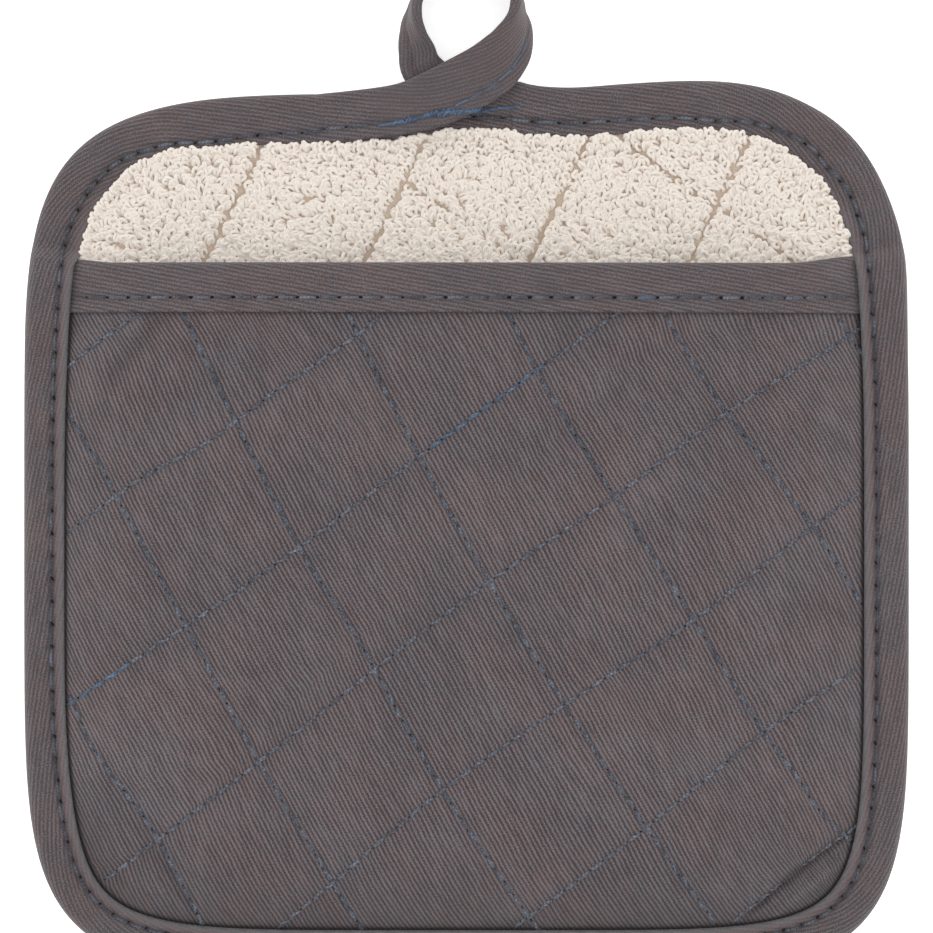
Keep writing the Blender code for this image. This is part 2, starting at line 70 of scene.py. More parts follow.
# Edge binding.
LEAF = 1.0 * MM
WIDTH_SIDE = 10.2 * MM
WIDTH_TOP = 11.3 * MM
WIDTH_LOW = 10.1 * MM
LEFT_DRAW = 1.05 * MM
RIGHT_WIDE = 1.55 * MM
LEFT_DRAW_Y = -24.0 * MM
LEFT_DRAW_LENGTH = 50.0 * MM
RIGHT_WIDE_Y = 60.0 * MM
RIGHT_WIDE_LENGTH = 28.0 * MM
UPPER_WIDTHS = (
    # bells along the upper edge, in millimetres: x, length, how much wider the leaf is, the bell's power
    (-71.0, 8.0, -1.0, 2),
    (-3.0, 11.0, -1.7, 2),
    (10.0, 5.0, 1.3, 2),
)
CORNER_WIDTHS = (
    # the same in the two upper corners
    (-95.0, 10.5, 1.4, 4),
    (84.0, 8.0, 1.2, 2),
)
CORNERS_FROM_Y = 46.5 * MM
CORNERS_EASE = 5.0 * MM
BINDING_WALL = 1.1 * MM
# The stretch beside the pocket: whole up to BESIDE_Y, then easing out.
BESIDE_Y = 55.0 * MM
BESIDE_EASE = 25.0 * MM
# Puckers in the corners: the bend, in radians a metre, from which they are full, and their pitch.
FULL_BEND = 25.0
PUCKER_PITCH = 2.6 * MM
PUCKER_DEPTH = 0.22 * MM
# The stitched row's groove, the puff of the lip beside it, and where the row starts.
EDGE_GROOVE = 0.60 * MM
EDGE_PUFF = 1.6 * MM
EDGE_ROW_FROM = 26.0 * MM
BINDING_NOSE = 2.4 * MM
STITCH_INSET = 3.0 * MM
STITCH_INSET_SIDE = 2.6 * MM
TOP_ROW = (
    # x, how far the upper edge's stitched row runs from the lip, in millimetres
    (-100.0, 3.0), (-97.0, 2.3), (-91.0, 2.0), (-85.0, 2.5), (-80.0, 2.3), (-76.0, 1.9), (-71.0, 1.5),
    (-64.0, 1.2), (-56.0, 1.5), (-45.0, 2.3), (-30.0, 2.4), (0.0, 3.0), (30.0, 3.0), (48.0, 2.7),
    (57.0, 2.1), (65.0, 2.6), (84.0, 3.0), (88.0, 2.2), (91.0, 2.4), (95.0, 3.5), (101.0, 3.2),
)
TOP_ROW_FROM_Y = 46.0 * MM
TOP_ROW_EASE = 9.0 * MM
HEIGHT_TOP = 4.6 * MM
HEIGHT_MOUTH = 8.0 * MM
HEIGHT_LOW = 6.5 * MM
EDGE_CLEAR = 0.5 * MM

# Back panel.
PANEL_INSET = 1.5 * MM
BACK_RIM_LOW = 1.3 * MM
BACK_RIM_HIGH = 3.3 * MM
BACK_FACE = 6.0 * MM
BACK_SHOULDER = 9.0 * MM
UNDERSIDE_SHOULDER = 4.5 * MM
TERRY_SEAM_DEPTH = 1.1 * MM
UNDERSIDE_SEAM_DEPTH = 0.7 * MM
BACK_STEEP_ANGLE = 64.0
BACK_STEEP_X = np.array((-156.6, -119.6, -82.6, -45.6, -8.2, 28.6, 65.6, 102.6, 139.6)) * MM
BACK_SHALLOW_ANGLE = -35.5
BACK_SHALLOW_Y = np.array((145.4, 100.2, 55.0, 9.8, -35.4, -80.6, -125.8)) * MM

# Pocket panel and the strip over its mouth.
MOUTH_Y = 46.3 * MM
MOUTH_SLANT = -0.0010
POCKET_RIM_LOW = 3.6 * MM
POCKET_RIM_HIGH = 5.2 * MM
POCKET_RISE = 9.2 * MM
POCKET_RISE_LENGTH = 15.0 * MM
POCKET_THICK = 4.2 * MM
POCKET_SEAM_DEPTH = 1.2 * MM
MOUTH_RIM_LIFT = 1.0 * MM
MOUTH_EDGE_THICK = 1.0 * MM
MOUTH_THICK = 2.4 * MM
STRIP_WIDTH = 11.3 * MM
STRIP_LEAF = 0.7 * MM
STRIP_WALL = 0.9 * MM
STRIP_STITCH_INSET = 3.2 * MM
GAP = 0.3 * MM
DIP_LENGTH = 3.5 * MM

# Quilting.
SEAM_REACH = 6.5 * MM
STRAIGHT_REACH = 260.0 * MM
OVERRUN = 6.0 * MM
QUILT_PITCH = 3.65 * MM
BINDING_PITCH = 5.2 * MM
STRIP_PITCH = 4.83 * MM
THREAD_RADIUS = 0.34 * MM
THREAD_FLATNESS = 0.55
SEAM_CREASE = 0.16 * MM
SEAM_CREASE_WIDTH = 1.4 * MM
SEAM_RIPPLE = 0.07 * MM
SEAM_RIPPLE_REACH = 1.8 * MM
STRIP_ROW = STRIP_WIDTH - STRIP_STITCH_INSET
STRIP_GROOVE = 0.34 * MM
STRIP_PUFF = 1.7 * MM
# How far the mouth strip's upper edge rises at its right and left end.
STRIP_RISE_RIGHT = 1.8 * MM
STRIP_RISE_LEFT = 0.8 * MM

# Pocket seams that rise to the right, as places (x, y) in millimetres that each one runs through.
POCKET_RISING = (
    ((-90.3, 23.5), (-83.1, 29.0), (-74.6, 34.5)),
    ((-90.0, -14.3), (-73.9, -2.8), (-59.0, 5.3), (-43.4, 17.0), (-26.6, 28.5), (-18.3, 35.0)),
    ((-90.0, -54.1), (-63.1, -36.1), (-38.3, -18.9), (-16.2, -2.1), (16.7, 22.1), (33.2, 33.8)),
    ((-84.0, -96.0), (-47.5, -67.9), (-18.7, -44.9), (5.4, -26.5), (34.2, -6.9), (57.2, 10.4),
     (88.2, 29.9)),
    ((-41.7, -105.1), (-29.1, -94.3), (-6.1, -74.8), (22.7, -54.5), (51.4, -35.7), (79.0, -14.3),
     (89.4, -6.9)),
    ((10.0, -107.0), (41.1, -82.8), (67.5, -61.4), (88.2, -47.6)),
    ((62.9, -103.3), (73.9, -94.3), (80.8, -88.8), (88.2, -84.0)),
)
# Pocket seams that fall to the right, in the same way.
POCKET_FALLING = (
    ((-88.9, -57.5), (-85.0, -65.6), (-71.2, -84.4), (-61.3, -104.0)),
    ((-89.6, 9.2), (-80.8, -5.8), (-64.7, -35.7), (-48.6, -65.6), (-34.8, -88.6), (-24.5, -105.8)),
    ((-64.3, 34.0), (-56.5, 17.7), (-38.3, -18.4), (-24.5, -40.3), (-4.9, -75.2), (13.5, -102.4)),
    ((-27.0, 34.5), (-19.4, 18.6), (-10.9, 2.3), (-3.1, -12.2), (16.9, -46.0), (41.1, -82.8),
     (56.0, -103.5)),
    ((9.8, 34.5), (16.7, 20.2), (27.3, 3.0), (51.4, -34.5), (66.4, -58.7), (76.5, -72.5),
     (79.8, -78.0), (86.1, -84.4), (89.5, -87.2)),
    ((45.7, 33.4), (57.2, 15.0), (67.5, 1.2), (79.0, -13.8), (89.4, -29.9)),
    ((84.1, 35.0), (90.0, 26.5)),
)

# Soft creases of the pocket cloth, in millimetres: from, to, how wide, how high (a trough is negative).
POCKET_CREASES = (
    # x0, y0, x1, y1, width, height
    (-82.5, 18.5, -69.0, 35.5, 3.4, -0.75),
    (-78.0, 15.0, -66.0, 31.0, 3.0, 0.35),
    (65.1, -101.7, 88.1, -83.3, 1.4, -2.0),
    (85.5, -85.8, 90.5, -81.8, 1.1, -1.1),
    (68.0, -104.9, 90.6, -87.2, 2.0, 1.1),
    (76.5, 12.0, 90.0, 3.0, 2.0, -0.45),
    (78.0, 7.5, 90.5, -0.5, 1.8, 0.3),
    (73.5, -31.0, 86.0, -33.5, 2.2, -0.35),
    (73.0, -54.5, 84.0, -51.0, 2.0, -0.4),
    (-73.5, -84.0, -61.0, -104.5, 2.4, -0.5),
    (-59.7, 1.0, -59.2, -13.5, 3.0, -0.35),
    (-46.6, 30.5, -47.4, 17.5, 3.0, -0.3),
    (-20.6, 26.5, -19.2, 12.5, 3.0, -0.35),
    (-4.4, -39.0, -2.6, -55.5, 3.2, -0.35),
    (2.0, -90.5, 4.5, -101.0, 2.0, 0.3),
    (53.5, -96.0, 57.0, -106.5, 2.2, 0.35),
    (-30.0, 33.5, -33.5, 24.0, 2.4, -0.25),
    (24.0, 33.5, 21.5, 25.0, 2.4, -0.25),
    (63.0, 33.5, 66.0, 24.5, 2.6, -0.25),
)

# Hanging loop: the tail of the edge binding, lying flat where it leaves the edge and standing on its
# stitched edge over the top. Its end goes back under the first strand.
LOOP_ROUTE = (
    # x, y, z, width, thickness in millimetres, tilt in degrees (90 stands on edge)
    (-16.6, 81.6, 6.20, 11.4, 1.8, 2.0),
    (-7.9, 83.9, 8.30, 12.8, 2.1, 6.0),
    (-1.0, 87.2, 8.70, 13.2, 2.2, 10.0),
    (4.8, 90.6, 8.80, 13.2, 2.2, 18.0),
    (8.6, 94.3, 8.70, 13.0, 2.3, 33.0),
    (10.6, 97.5, 8.40, 12.8, 2.4, 48.0),
    (11.8, 101.0, 8.00, 12.8, 2.5, 66.0),
    (11.9, 104.4, 7.60, 12.8, 2.6, 82.0),
    (11.2, 108.0, 7.00, 12.8, 2.6, 89.0),
    (7.5, 112.9, 6.80, 12.8, 2.6, 90.0),
    (0.2, 116.0, 6.80, 12.8, 2.6, 90.0),
    (-7.0, 112.9, 6.80, 12.8, 2.6, 90.0),
    (-10.8, 108.0, 6.80, 12.4, 2.6, 89.0),
    (-12.0, 103.6, 6.70, 11.7, 2.6, 82.0),
    (-12.0, 99.4, 6.00, 9.2, 2.5, 60.0),
    (-11.2, 95.2, 5.20, 8.7, 2.2, 24.0),
    (-10.2, 91.4, 5.45, 9.4, 1.9, 6.0),
    (-7.0, 87.7, 5.80, 10.0, 1.8, 0.0),
    (-3.2, 84.5, 5.80, 10.2, 1.8, 0.0),
    (-0.8, 81.5, 5.70, 10.2, 1.8, 0.0),
)
# The bar of stitches over the loop's foot, in millimetres: x, y, reach to each side.
BAR_ROUTE = ((-20.4, 77.9, 0.15), (-17.0, 78.4, 0.45), (-13.7, 79.0, 0.9), (-11.0, 79.6, 0.4),
             (-7.6, 80.5, 1.0), (-2.4, 80.9, 0.8), (3.1, 81.3, 0.5), (7.0, 82.0, 0.3), (11.8, 82.3, 0.4))
BAR_PITCH = 0.33 * MM
# From the tail's start: where its calmer shade, its own cloth and its own row begin; the row's length.
LOOP_SHADE_FROM = 12.0 * MM
LOOP_CLOTH_FROM = 14.0 * MM
LOOP_ROW_FROM = 14.5 * MM
LOOP_ROW_LENGTH = 42.0 * MM

# Twill: the wales' pitch and their slant, on the panels from +X and on the strips from their length.
PANEL_WALE_PITCH = 1.00 * MM
PANEL_WALE_ANGLE = 118.5
STRIP_WALE_PITCH = 0.93 * MM
STRIP_WALE_ANGLE = -11.0
RIBBED_LIP = 2.4 * MM
YARN_STEP = 0.64 * MM

# Towelling.
LOOP_SPACING = 1.27 * MM
PILE_DROP = 0.7 * MM
PILE_LOW_Y = MOUTH_Y - 9.0 * MM
PILE_HIGH_Y = 78.0 * MM
PILE_HALF_WIDTH = 92.0 * MM
FOOT_DEPTH = 0.5 * MM
YARN_RADIUS = 0.43 * MM

# Photograph: millimetres in its width, and the point that it looks straight down on.
FRAME_WIDTH = 214.6 * MM
FRAME_MIDDLE = (0.0, -0.35 * MM)
CAMERA_LENS = 250.0
SENSOR_WIDTH = 36.0
CAMERA_ABOVE = 4.0 * MM

# How finely curves are worked out, and the lattice that noise is read from.
SPLINE_STEPS = 24
OUTLINE_POINTS = 5760
BLOCK = 8192
EDGE_STEP = 0.72 * MM
STRIP_STATIONS = 262
FINE_STEP = 0.3 * MM
WIDE_STEP = 1.6 * MM
NOISE_CELLS = 64
NOISE_SHIFT = 500.0
UP = np.array([0.0, 0.0, 1.0])


def ease(value):
    """Ease from 0 to 1 while value goes from 0 to 1: 3 t squared less 2 t cubed."""
    t = np.clip(value, 0.0, 1.0)
    return t * t * (3.0 - 2.0 * t)


def ramp(value, start, length):
    """Ease from 0 at the start to 1 a length further on. A negative length runs backwards."""
    return ease((value - start) / length)


def bell(value, middle, width, power=2):
    """A bell curve, exp(-((value - middle) / width) ^ power). A power of 4 gives it a flat top."""
    return np.exp(-((value - middle) / width) ** power)


def bells(x, table):
    """The sum of a table's bell curves, in metres: rows of middle, width, height and power."""
    return sum(height * MM * bell(x, middle * MM, width * MM, power)
               for middle, width, height, power in table)


def fading(distance, length):
    """A fade from 1 at no distance: exp(-distance / length)."""
    return np.exp(-distance / length)


def beats(along, pitch):
    """A cosine from 0 to 1 along a row, highest at each whole pitch."""
    return 0.5 + 0.5 * np.cos(2.0 * math.pi * along / pitch)


def soft_noise(x, y, size, seed):
    """Smooth hills and hollows from about -1 to 1: random heights on a square lattice, eased between."""
    lattice = np.random.default_rng(seed).uniform(-1.0, 1.0, (NOISE_CELLS, NOISE_CELLS))
    u = np.asarray(x) / size + NOISE_SHIFT
    v = np.asarray(y) / size + NOISE_SHIFT
    column = np.floor(u).astype(int)
    row = np.floor(v).astype(int)
    corners = [[lattice[(row + up) % NOISE_CELLS, (column + over) % NOISE_CELLS] for over in (0, 1)]
               for up in (0, 1)]
    fade = ease(u - column)
    low, high = (start * (1.0 - fade) + end * fade for start, end in corners)
    fade = ease(v - row)
    return low * (1.0 - fade) + high * fade


def unit(vectors):
    """Scale vectors to length 1."""
    return vectors / np.linalg.norm(vectors, axis=-1, keepdims=True)


def run_length(points):
    """Length along a line of points up to each of them."""
    return np.concatenate([[0.0], np.cumsum(np.linalg.norm(np.diff(points, axis=0), axis=1))])


def between(wanted, run, rows):
    """A table's rows read at wanted lengths along it, straight between its own, every column at once."""
    return np.stack([np.interp(wanted, run, column) for column in np.transpose(rows)], axis=-1)


def through(rows):
    """A smooth curve through every row: a Catmull-Rom spline, any number of columns."""
    table = np.array(rows, float)
    ends = np.vstack([2.0 * table[0] - table[1], table, 2.0 * table[-1] - table[-2]])
    t = np.linspace(0.0, 1.0, SPLINE_STEPS, endpoint=False)[None, :, None]
    before, start, end, after = (ends[k:len(ends) - 3 + k, None, :] for k in range(4))
    curve = 0.5 * (2.0 * start + (end - before) * t
                   + (2.0 * before - 5.0 * start + 4.0 * end - after) * t ** 2
                   + (3.0 * start - before - 3.0 * end + after) * t ** 3)
    return np.vstack([curve.reshape(-1, table.shape[1]), table[-1:]])


# ---- the body's outline -------------------------------------------------------------------------

def corner_power(x, y):
    """The superellipse's power in the quarter that a place lies in, from the body's middle."""
    low = np.where(x < 0.0, POWER_LOW_LEFT, POWER_LOW_RIGHT)
    high = np.where(x < 0.0, POWER_HIGH_LEFT, POWER_HIGH_RIGHT)
    return np.where(y < 0.0, low, high)


def upper_rise(x, y):
    """How far the upper half is lifted: a slanting line and a smooth wave in x, eased in upwards."""
    wave = through(TOP_WAVE) * MM
    return (TOP_SLANT * x + np.interp(x, wave[:, 0], wave[:, 1])) * ease(y / REACH_UP)


def right_swell(x, y):
    """How far the right side stands out beside the pocket's mouth: a bell curve in y, fading inwards."""
    return SWELL * np.clip(x / HALF_WIDTH, 0.0, 1.0) ** 2 * bell(y, SWELL_Y, SWELL_LENGTH)


def to_body(x, y):
    """Move places from the plain superellipse to the body: up to its upper edge, out to its right side."""
    y = y + upper_rise(x, y) + MIDDLE_Y
    return x + right_swell(x, y), y


def outline_stations(step):
    """Points round the outline, clockwise from the top middle, a step apart, with inward directions.

    In polar form the radius is (|cos/a|^p + |sin/b|^p)^(-1/p). The upper half is then lifted a little.
    """
    angle = np.linspace(0.5 * math.pi, -1.5 * math.pi, OUTLINE_POINTS)
    cosine, sine = np.cos(angle), np.sin(angle)
    power = corner_power(cosine, sine)
    reach = np.where(sine >= 0.0, REACH_UP, REACH_DOWN)
    radius = (np.abs(cosine / HALF_WIDTH) ** power + np.abs(sine / reach) ** power) ** (-1.0 / power)
    x, y = to_body(radius * cosine, radius * sine)
    start = np.argmin(np.abs(x - RING_START_X) + np.where(sine > 0.0, 0.0, 1.0))
    dense = np.roll(np.column_stack([x, y])[:-1], -start, axis=0)
    dense = np.vstack([dense, dense[:1]])
    run = run_length(dense)
    wanted = np.linspace(0.0, run[-1], int(round(run[-1] / step)), endpoint=False)
    points = between(wanted, run, dense)
    heading = unit(np.roll(points, -1, axis=0) - np.roll(points, 1, axis=0))
    inward = np.column_stack([heading[:, 1], -heading[:, 0]])
    return points, inward, wanted, run[-1]


def corner_fullness(points):
    """How much wider the binding is in its upper corners: bells in x, eased in above the mouth."""
    return bells(points[:, 0], CORNER_WIDTHS) * ramp(points[:, 1], CORNERS_FROM_Y, CORNERS_EASE)


def binding_width(points, inward):
    """Width of the edge binding's upper leaf: more along the top, uneven at the loop's foot.

    Bell curves in x: a stretch at the left is pinched, the foot's stitches draw the lip up, and beside
    the loop the leaf is wider. In y, a flat-topped bell narrows the left side along its middle, and a
    bell widens the right side beside and above the pocket's mouth. The upper corners' own is added.
    """
    x, y = points.T
    end = np.where(inward[:, 1] < 0.0, WIDTH_TOP, WIDTH_LOW)
    level = WIDTH_SIDE + (end - WIDTH_SIDE) * inward[:, 1] ** 4
    narrow = LEFT_DRAW * bell(y, LEFT_DRAW_Y, LEFT_DRAW_LENGTH, 4) * inward[:, 0] ** 4
    wider = RIGHT_WIDE * bell(y, RIGHT_WIDE_Y, RIGHT_WIDE_LENGTH) * np.abs(inward[:, 0])
    level = level + np.where(x < 0.0, -narrow, wider)
    return level + np.where(y > 0.0, bells(x, UPPER_WIDTHS) + corner_fullness(points), 0.0)


OUTLINE, OUTLINE_INWARD, _, _ = outline_stations(1.0 * MM)


def inside_binding(x, y):
    """Distance from the edge binding's inner edge, positive inside it: by the nearest station."""
    flat = np.column_stack([np.ravel(x), np.ravel(y)])
    width = binding_width(OUTLINE, OUTLINE_INWARD) + EDGE_CLEAR
    result = np.empty(len(flat))
    for first in range(0, len(flat), BLOCK):
        block = flat[first:first + BLOCK]
        far = (OUTLINE ** 2).sum(1)[None, :] - 2.0 * block @ OUTLINE.T
        nearest = far.argmin(axis=1)
        offset = block - OUTLINE[nearest]
        result[first:first + BLOCK] = (offset * OUTLINE_INWARD[nearest]).sum(1) - width[nearest]
    return result.reshape(np.shape(x))


def binding_height(y):
    """Height of the edge binding's upper face: highest where it crosses the pocket's mouth."""
    onto = ramp(y, MOUTH_Y + 5.5 * MM, -4.5 * MM)
    off = ramp(y, MOUTH_Y - STRIP_WIDTH - 2.0 * MM, -8.0 * MM)
    return HEIGHT_TOP + onto * (HEIGHT_MOUTH - HEIGHT_TOP) + off * (HEIGHT_LOW - HEIGHT_MOUTH)


def mouth_height(x):
    """The y of the pocket's mouth at x."""
    return MOUTH_Y + MOUTH_SLANT * x


# ---- quilting -----------------------------------------------------------------------------------

def make_seam(points, lead, depth):
    """A seam as a dense smooth curve, run straight on at both ends.

    Lead is the axis that it never turns back on.
    """
    curve = through(np.array(points) * MM)
    curve = np.vstack([curve[0] - OVERRUN * unit(curve[1] - curve[0]), curve,
                       curve[-1] + OVERRUN * unit(curve[-1] - curve[-2])])
    if curve[0, lead] > curve[-1, lead]:
        curve = curve[::-1]
    return {"curve": curve, "run": run_length(curve), "lead": lead, "depth": depth}


def straight_seam(x, y, angle, depth):
    """A seam through one point at an angle, long enough to cross the whole body."""
    way = STRAIGHT_REACH * np.array([math.cos(math.radians(angle)), math.sin(math.radians(angle))]) / MM
    middle = np.array([x, y]) / MM
    return make_seam((middle - way, middle - 0.3 * way, middle + 0.3 * way, middle + way),
                     0 if abs(angle) < 45.0 else 1, depth)


def from_seam(seam, x, y):
    """Distance from a seam and length along it: the gap on the other axis times the slope's cosine."""
    lead = seam["lead"]
    curve = seam["curve"]
    ahead, other = (x, y) if lead == 0 else (y, x)
    place = np.interp(ahead, curve[:, lead], curve[:, 1 - lead])
    slope = np.gradient(curve[:, 1 - lead], curve[:, lead])
    beyond = ahead - np.clip(ahead, curve[0, lead], curve[-1, lead])
    steep = np.interp(ahead, curve[:, lead], slope)
    across = (other - place - beyond * steep) / np.sqrt(1.0 + steep ** 2)
    along = np.interp(ahead, curve[:, lead], seam["run"]) + beyond * np.sqrt(1.0 + steep ** 2)
    return across, along


RISING_SEAMS = [make_seam(points, 0, POCKET_SEAM_DEPTH) for points in POCKET_RISING]
FALLING_SEAMS = [make_seam(points, 1, POCKET_SEAM_DEPTH) for points in POCKET_FALLING]
POCKET_SEAMS = RISING_SEAMS + FALLING_SEAMS
STEEP_SEAMS = [straight_seam(x, 0.0, BACK_STEEP_ANGLE, TERRY_SEAM_DEPTH) for x in BACK_STEEP_X]
SHALLOW_SEAMS = [straight_seam(0.0, y, BACK_SHALLOW_ANGLE, TERRY_SEAM_DEPTH) for y in BACK_SHALLOW_Y]
BACK_SEAMS = STEEP_SEAMS + SHALLOW_SEAMS
# How clear each seam's groove stands among the loops: the shallow ones are partly grown over.
GROOVES = [(seam, 1.0) for seam in STEEP_SEAMS] + [(SHALLOW_SEAMS[1], 0.75), (SHALLOW_SEAMS[2], 0.45)]


def seam_pull(x, y, seams):
    """How far the seams draw the cloth in: a soft valley, a narrow crease and a ripple at each stitch."""
    valley = np.zeros(np.shape(x))
    crease = np.zeros(np.shape(x))
    for seam in seams:
        across, along = from_seam(seam, x, y)
        away = np.abs(across)
        valley = np.maximum(valley, seam["depth"] * (1.0 - ease(away / SEAM_REACH)) ** 1.3)
        ripple = np.cos(2.0 * math.pi * along / QUILT_PITCH) * fading(away, SEAM_RIPPLE_REACH)
        crease = np.maximum(crease, SEAM_CREASE * bell(away, 0.0, SEAM_CREASE_WIDTH))
        crease = crease + SEAM_RIPPLE * ripple
    return 0.9 * valley + crease


def creases(x, y):
    """The pocket's troughs and ridges: slightly bent runs, a bell curve across, faded at both ends."""
    height = np.zeros(np.shape(x))
    for x0, y0, x1, y1, width, rise in POCKET_CREASES:
        start = np.array([x0, y0]) * MM
        way = np.array([x1, y1]) * MM - start
        length = np.linalg.norm(way)
        along = ((x - start[0]) * way[0] + (y - start[1]) * way[1]) / length
        across = ((x - start[0]) * way[1] - (y - start[1]) * way[0]) / length
        bend = 0.12 * length * (along / length - 0.5) ** 2
        fade = ease(along / (0.35 * length) + 0.5) * ease((length - along) / (0.35 * length) + 0.5)
        height = height + rise * MM * bell(across, bend, 0.6 * width * MM) * fade
    return height


# ---- panels' faces ------------------------------------------------------------------------------

def near_mouth(x, y):
    """1 within the mouth's strip, 0 well below it."""
    below = mouth_height(x) - y
    return 1.0 - ease((below - STRIP_WIDTH - 2.0 * GAP) / (0.7 * STRIP_WIDTH))


def pocket_low(x, y):
    """The pocket's inner face: it springs up from the bound rim over the hand space."""
    inside = np.maximum(inside_binding(x, y), 0.0)
    rise = POCKET_RISE * (1.0 - fading(inside, POCKET_RISE_LENGTH))
    return POCKET_RIM_LOW + MOUTH_RIM_LIFT * near_mouth(x, y) + rise


def pocket_high(x, y, quilted=True):
    """The pocket's outer face: full and quilted, pressed thin in the two bindings."""
    inside = np.maximum(inside_binding(x, y), 0.0)
    grown = 1.0 - fading(inside, 0.4 * POCKET_RISE_LENGTH)
    pressed = near_mouth(x, y)
    rim = POCKET_RIM_HIGH - POCKET_RIM_LOW
    full = rim + grown * (POCKET_THICK - rim)
    bound = MOUTH_EDGE_THICK + grown * (MOUTH_THICK - MOUTH_EDGE_THICK)
    face = pocket_low(x, y) + full + pressed * (bound - full)
    if quilted:
        slack = soft_noise(x, y, 17.0 * MM, 3) * 0.28 * MM + soft_noise(x, y, 6.0 * MM, 4) * 0.10 * MM
        shape = creases(x, y) + slack - seam_pull(x, y, POCKET_SEAMS)
        face = face + shape * grown * (1.0 - 0.8 * pressed)
    return face


def terry_ground(x, y):
    """The ground cloth that the towelling loops stand on, under the face of the solid."""
    inside = inside_binding(x, y)
    face = BACK_RIM_HIGH + ease(inside / BACK_SHOULDER) * (BACK_FACE - BACK_RIM_HIGH)
    face = face - 0.6 * seam_pull(x, y, BACK_SEAMS) * ease(inside / BACK_SHOULDER)
    return face - PILE_DROP * ramp(inside, -1.0 * MM, 6.0 * MM)


def underside(x, y):
    """The quilted underside: flat on the floor but for its seams and its bound rim."""
    inside = inside_binding(x, y)
    shoulder = ease(inside / UNDERSIDE_SHOULDER)
    seam = seam_pull(x, y, BACK_SEAMS) * UNDERSIDE_SEAM_DEPTH / TERRY_SEAM_DEPTH
    slack = 0.05 * MM * (1.0 + soft_noise(x, y, 9.0 * MM, 6))
    return BACK_RIM_LOW + shoulder * (seam + slack - BACK_RIM_LOW)


# ---- meshes -------------------------------------------------------------------------------------

def grid_faces(rows, columns, closed=False):
    """Corner numbers of a grid's quads, rows of four. A closed grid's last column joins its first."""
    row = np.arange(rows - 1)[:, None] * columns
    column = np.arange(columns if closed else columns - 1)[None, :]
    after = (column + 1) % columns
    corners = [row + column, row + after, row + columns + after, row + columns + column]
    return np.stack([corner.ravel() for corner in corners], axis=1)


def make_piece(name, points, faces, materials, uv=None, caps=(), material_index=None,
               shades=None):
    """Put arrays of points, quads and other faces into a smooth mesh that rides on the body.

    UV and shades are one row a point.
    """
    mesh = bpy.data.meshes.new(name)
    points = np.asarray(points, np.float32).reshape(-1, 3)
    corners = np.concatenate([faces.ravel()] + [np.ravel(cap) for cap in caps]).astype(np.int32)
    sizes = np.concatenate([np.full(len(faces), faces.shape[1])]
                           + [np.full(len(cap), cap.shape[1]) for cap in caps])
    starts = np.concatenate([[0], np.cumsum(sizes)[:-1]]).astype(np.int32)
    mesh.vertices.add(len(points))
    mesh.vertices.foreach_set("co", points.ravel())
    mesh.loops.add(len(corners))
    mesh.loops.foreach_set("vertex_index", corners)
    mesh.polygons.add(len(sizes))
    mesh.polygons.foreach_set("loop_start", starts)
    if material_index is not None:
        mesh.polygons.foreach_set("material_index", np.asarray(material_index, np.int32))
    mesh.update(calc_edges=True)
    mesh.validate()
    if uv is not None:
        layer = mesh.uv_layers.new(name="cloth")
        layer.data.foreach_set("uv", np.asarray(uv, np.float32).reshape(-1, 2)[corners].ravel())
    if shades is not None:
        shade = mesh.attributes.new("shade", "FLOAT", "POINT")
        shade.data.foreach_set("value", np.asarray(shades, np.float32).ravel())
    mesh.shade_smooth()
    for material in materials:
        mesh.materials.append(material)
    piece = bpy.data.objects.new(name, mesh)
    bpy.context.scene.collection.objects.link(piece)
    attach(piece, "root")
    return piece


def panel_piece(name, x, y, low, high, materials, under_material=0, shade=None,
                steep=(0.0, 0.0)):
    """A closed pad from two faces over the same grid, joined round the rim, with cloth UVs.

    U and V are the lengths along the grid's rows and columns over the upper face, in metres. Steep
    adds a fading share to U's pace beside the left and right bindings, where the cloth dips.
    """
    rows, columns = x.shape
    top = np.stack([x, y, high], axis=-1)
    bottom = np.stack([x, y, low], axis=-1)
    across = np.linalg.norm(np.diff(top, axis=1), axis=2)
    u = np.concatenate([np.zeros((rows, 1)), np.cumsum(across, axis=1)], axis=1)
    u = u - u[:, columns // 2:columns // 2 + 1] + x[:, columns // 2:columns // 2 + 1]
    for share, turn, away in ((steep[0], -1.0, x - x[:, :1]), (steep[1], 1.0, x[:, -1:] - x)):
        dip = np.maximum(away - WIDTH_SIDE + PANEL_INSET, 0.0)
        u = u + turn * share * DIP_LENGTH * fading(dip, DIP_LENGTH)
    along = np.linalg.norm(np.diff(top, axis=0), axis=2)
    v = np.concatenate([np.zeros((1, columns)), np.cumsum(along, axis=0)], axis=0)
    v = v - v[rows // 2:rows // 2 + 1, :] + y[rows // 2:rows // 2 + 1, :]
    uv = np.stack([u, v], axis=-1).reshape(-1, 2)
    face = grid_faces(rows, columns)
    count = rows * columns
    number = np.arange(count).reshape(rows, columns)
    rim = np.concatenate([number[0, :], number[1:, -1], number[-1, -2::-1], number[-2:0:-1, 0]])
    after = np.roll(rim, -1)
    wall = np.stack([rim, rim + count, after + count, after], axis=1)
    faces = np.concatenate([face, (face + count)[:, ::-1], wall])
    material_index = np.concatenate([np.zeros(len(face)), np.full(len(face) + len(wall), under_material)])
    shade = np.ones(x.shape) if shade is None else shade
    points = np.concatenate([top.reshape(-1, 3), bottom.reshape(-1, 3)])
    return make_piece(name, points, faces, materials, uv=np.concatenate([uv, uv]),
                      material_index=material_index,
                      shades=np.concatenate([shade.ravel(), np.ones(shade.size)]))


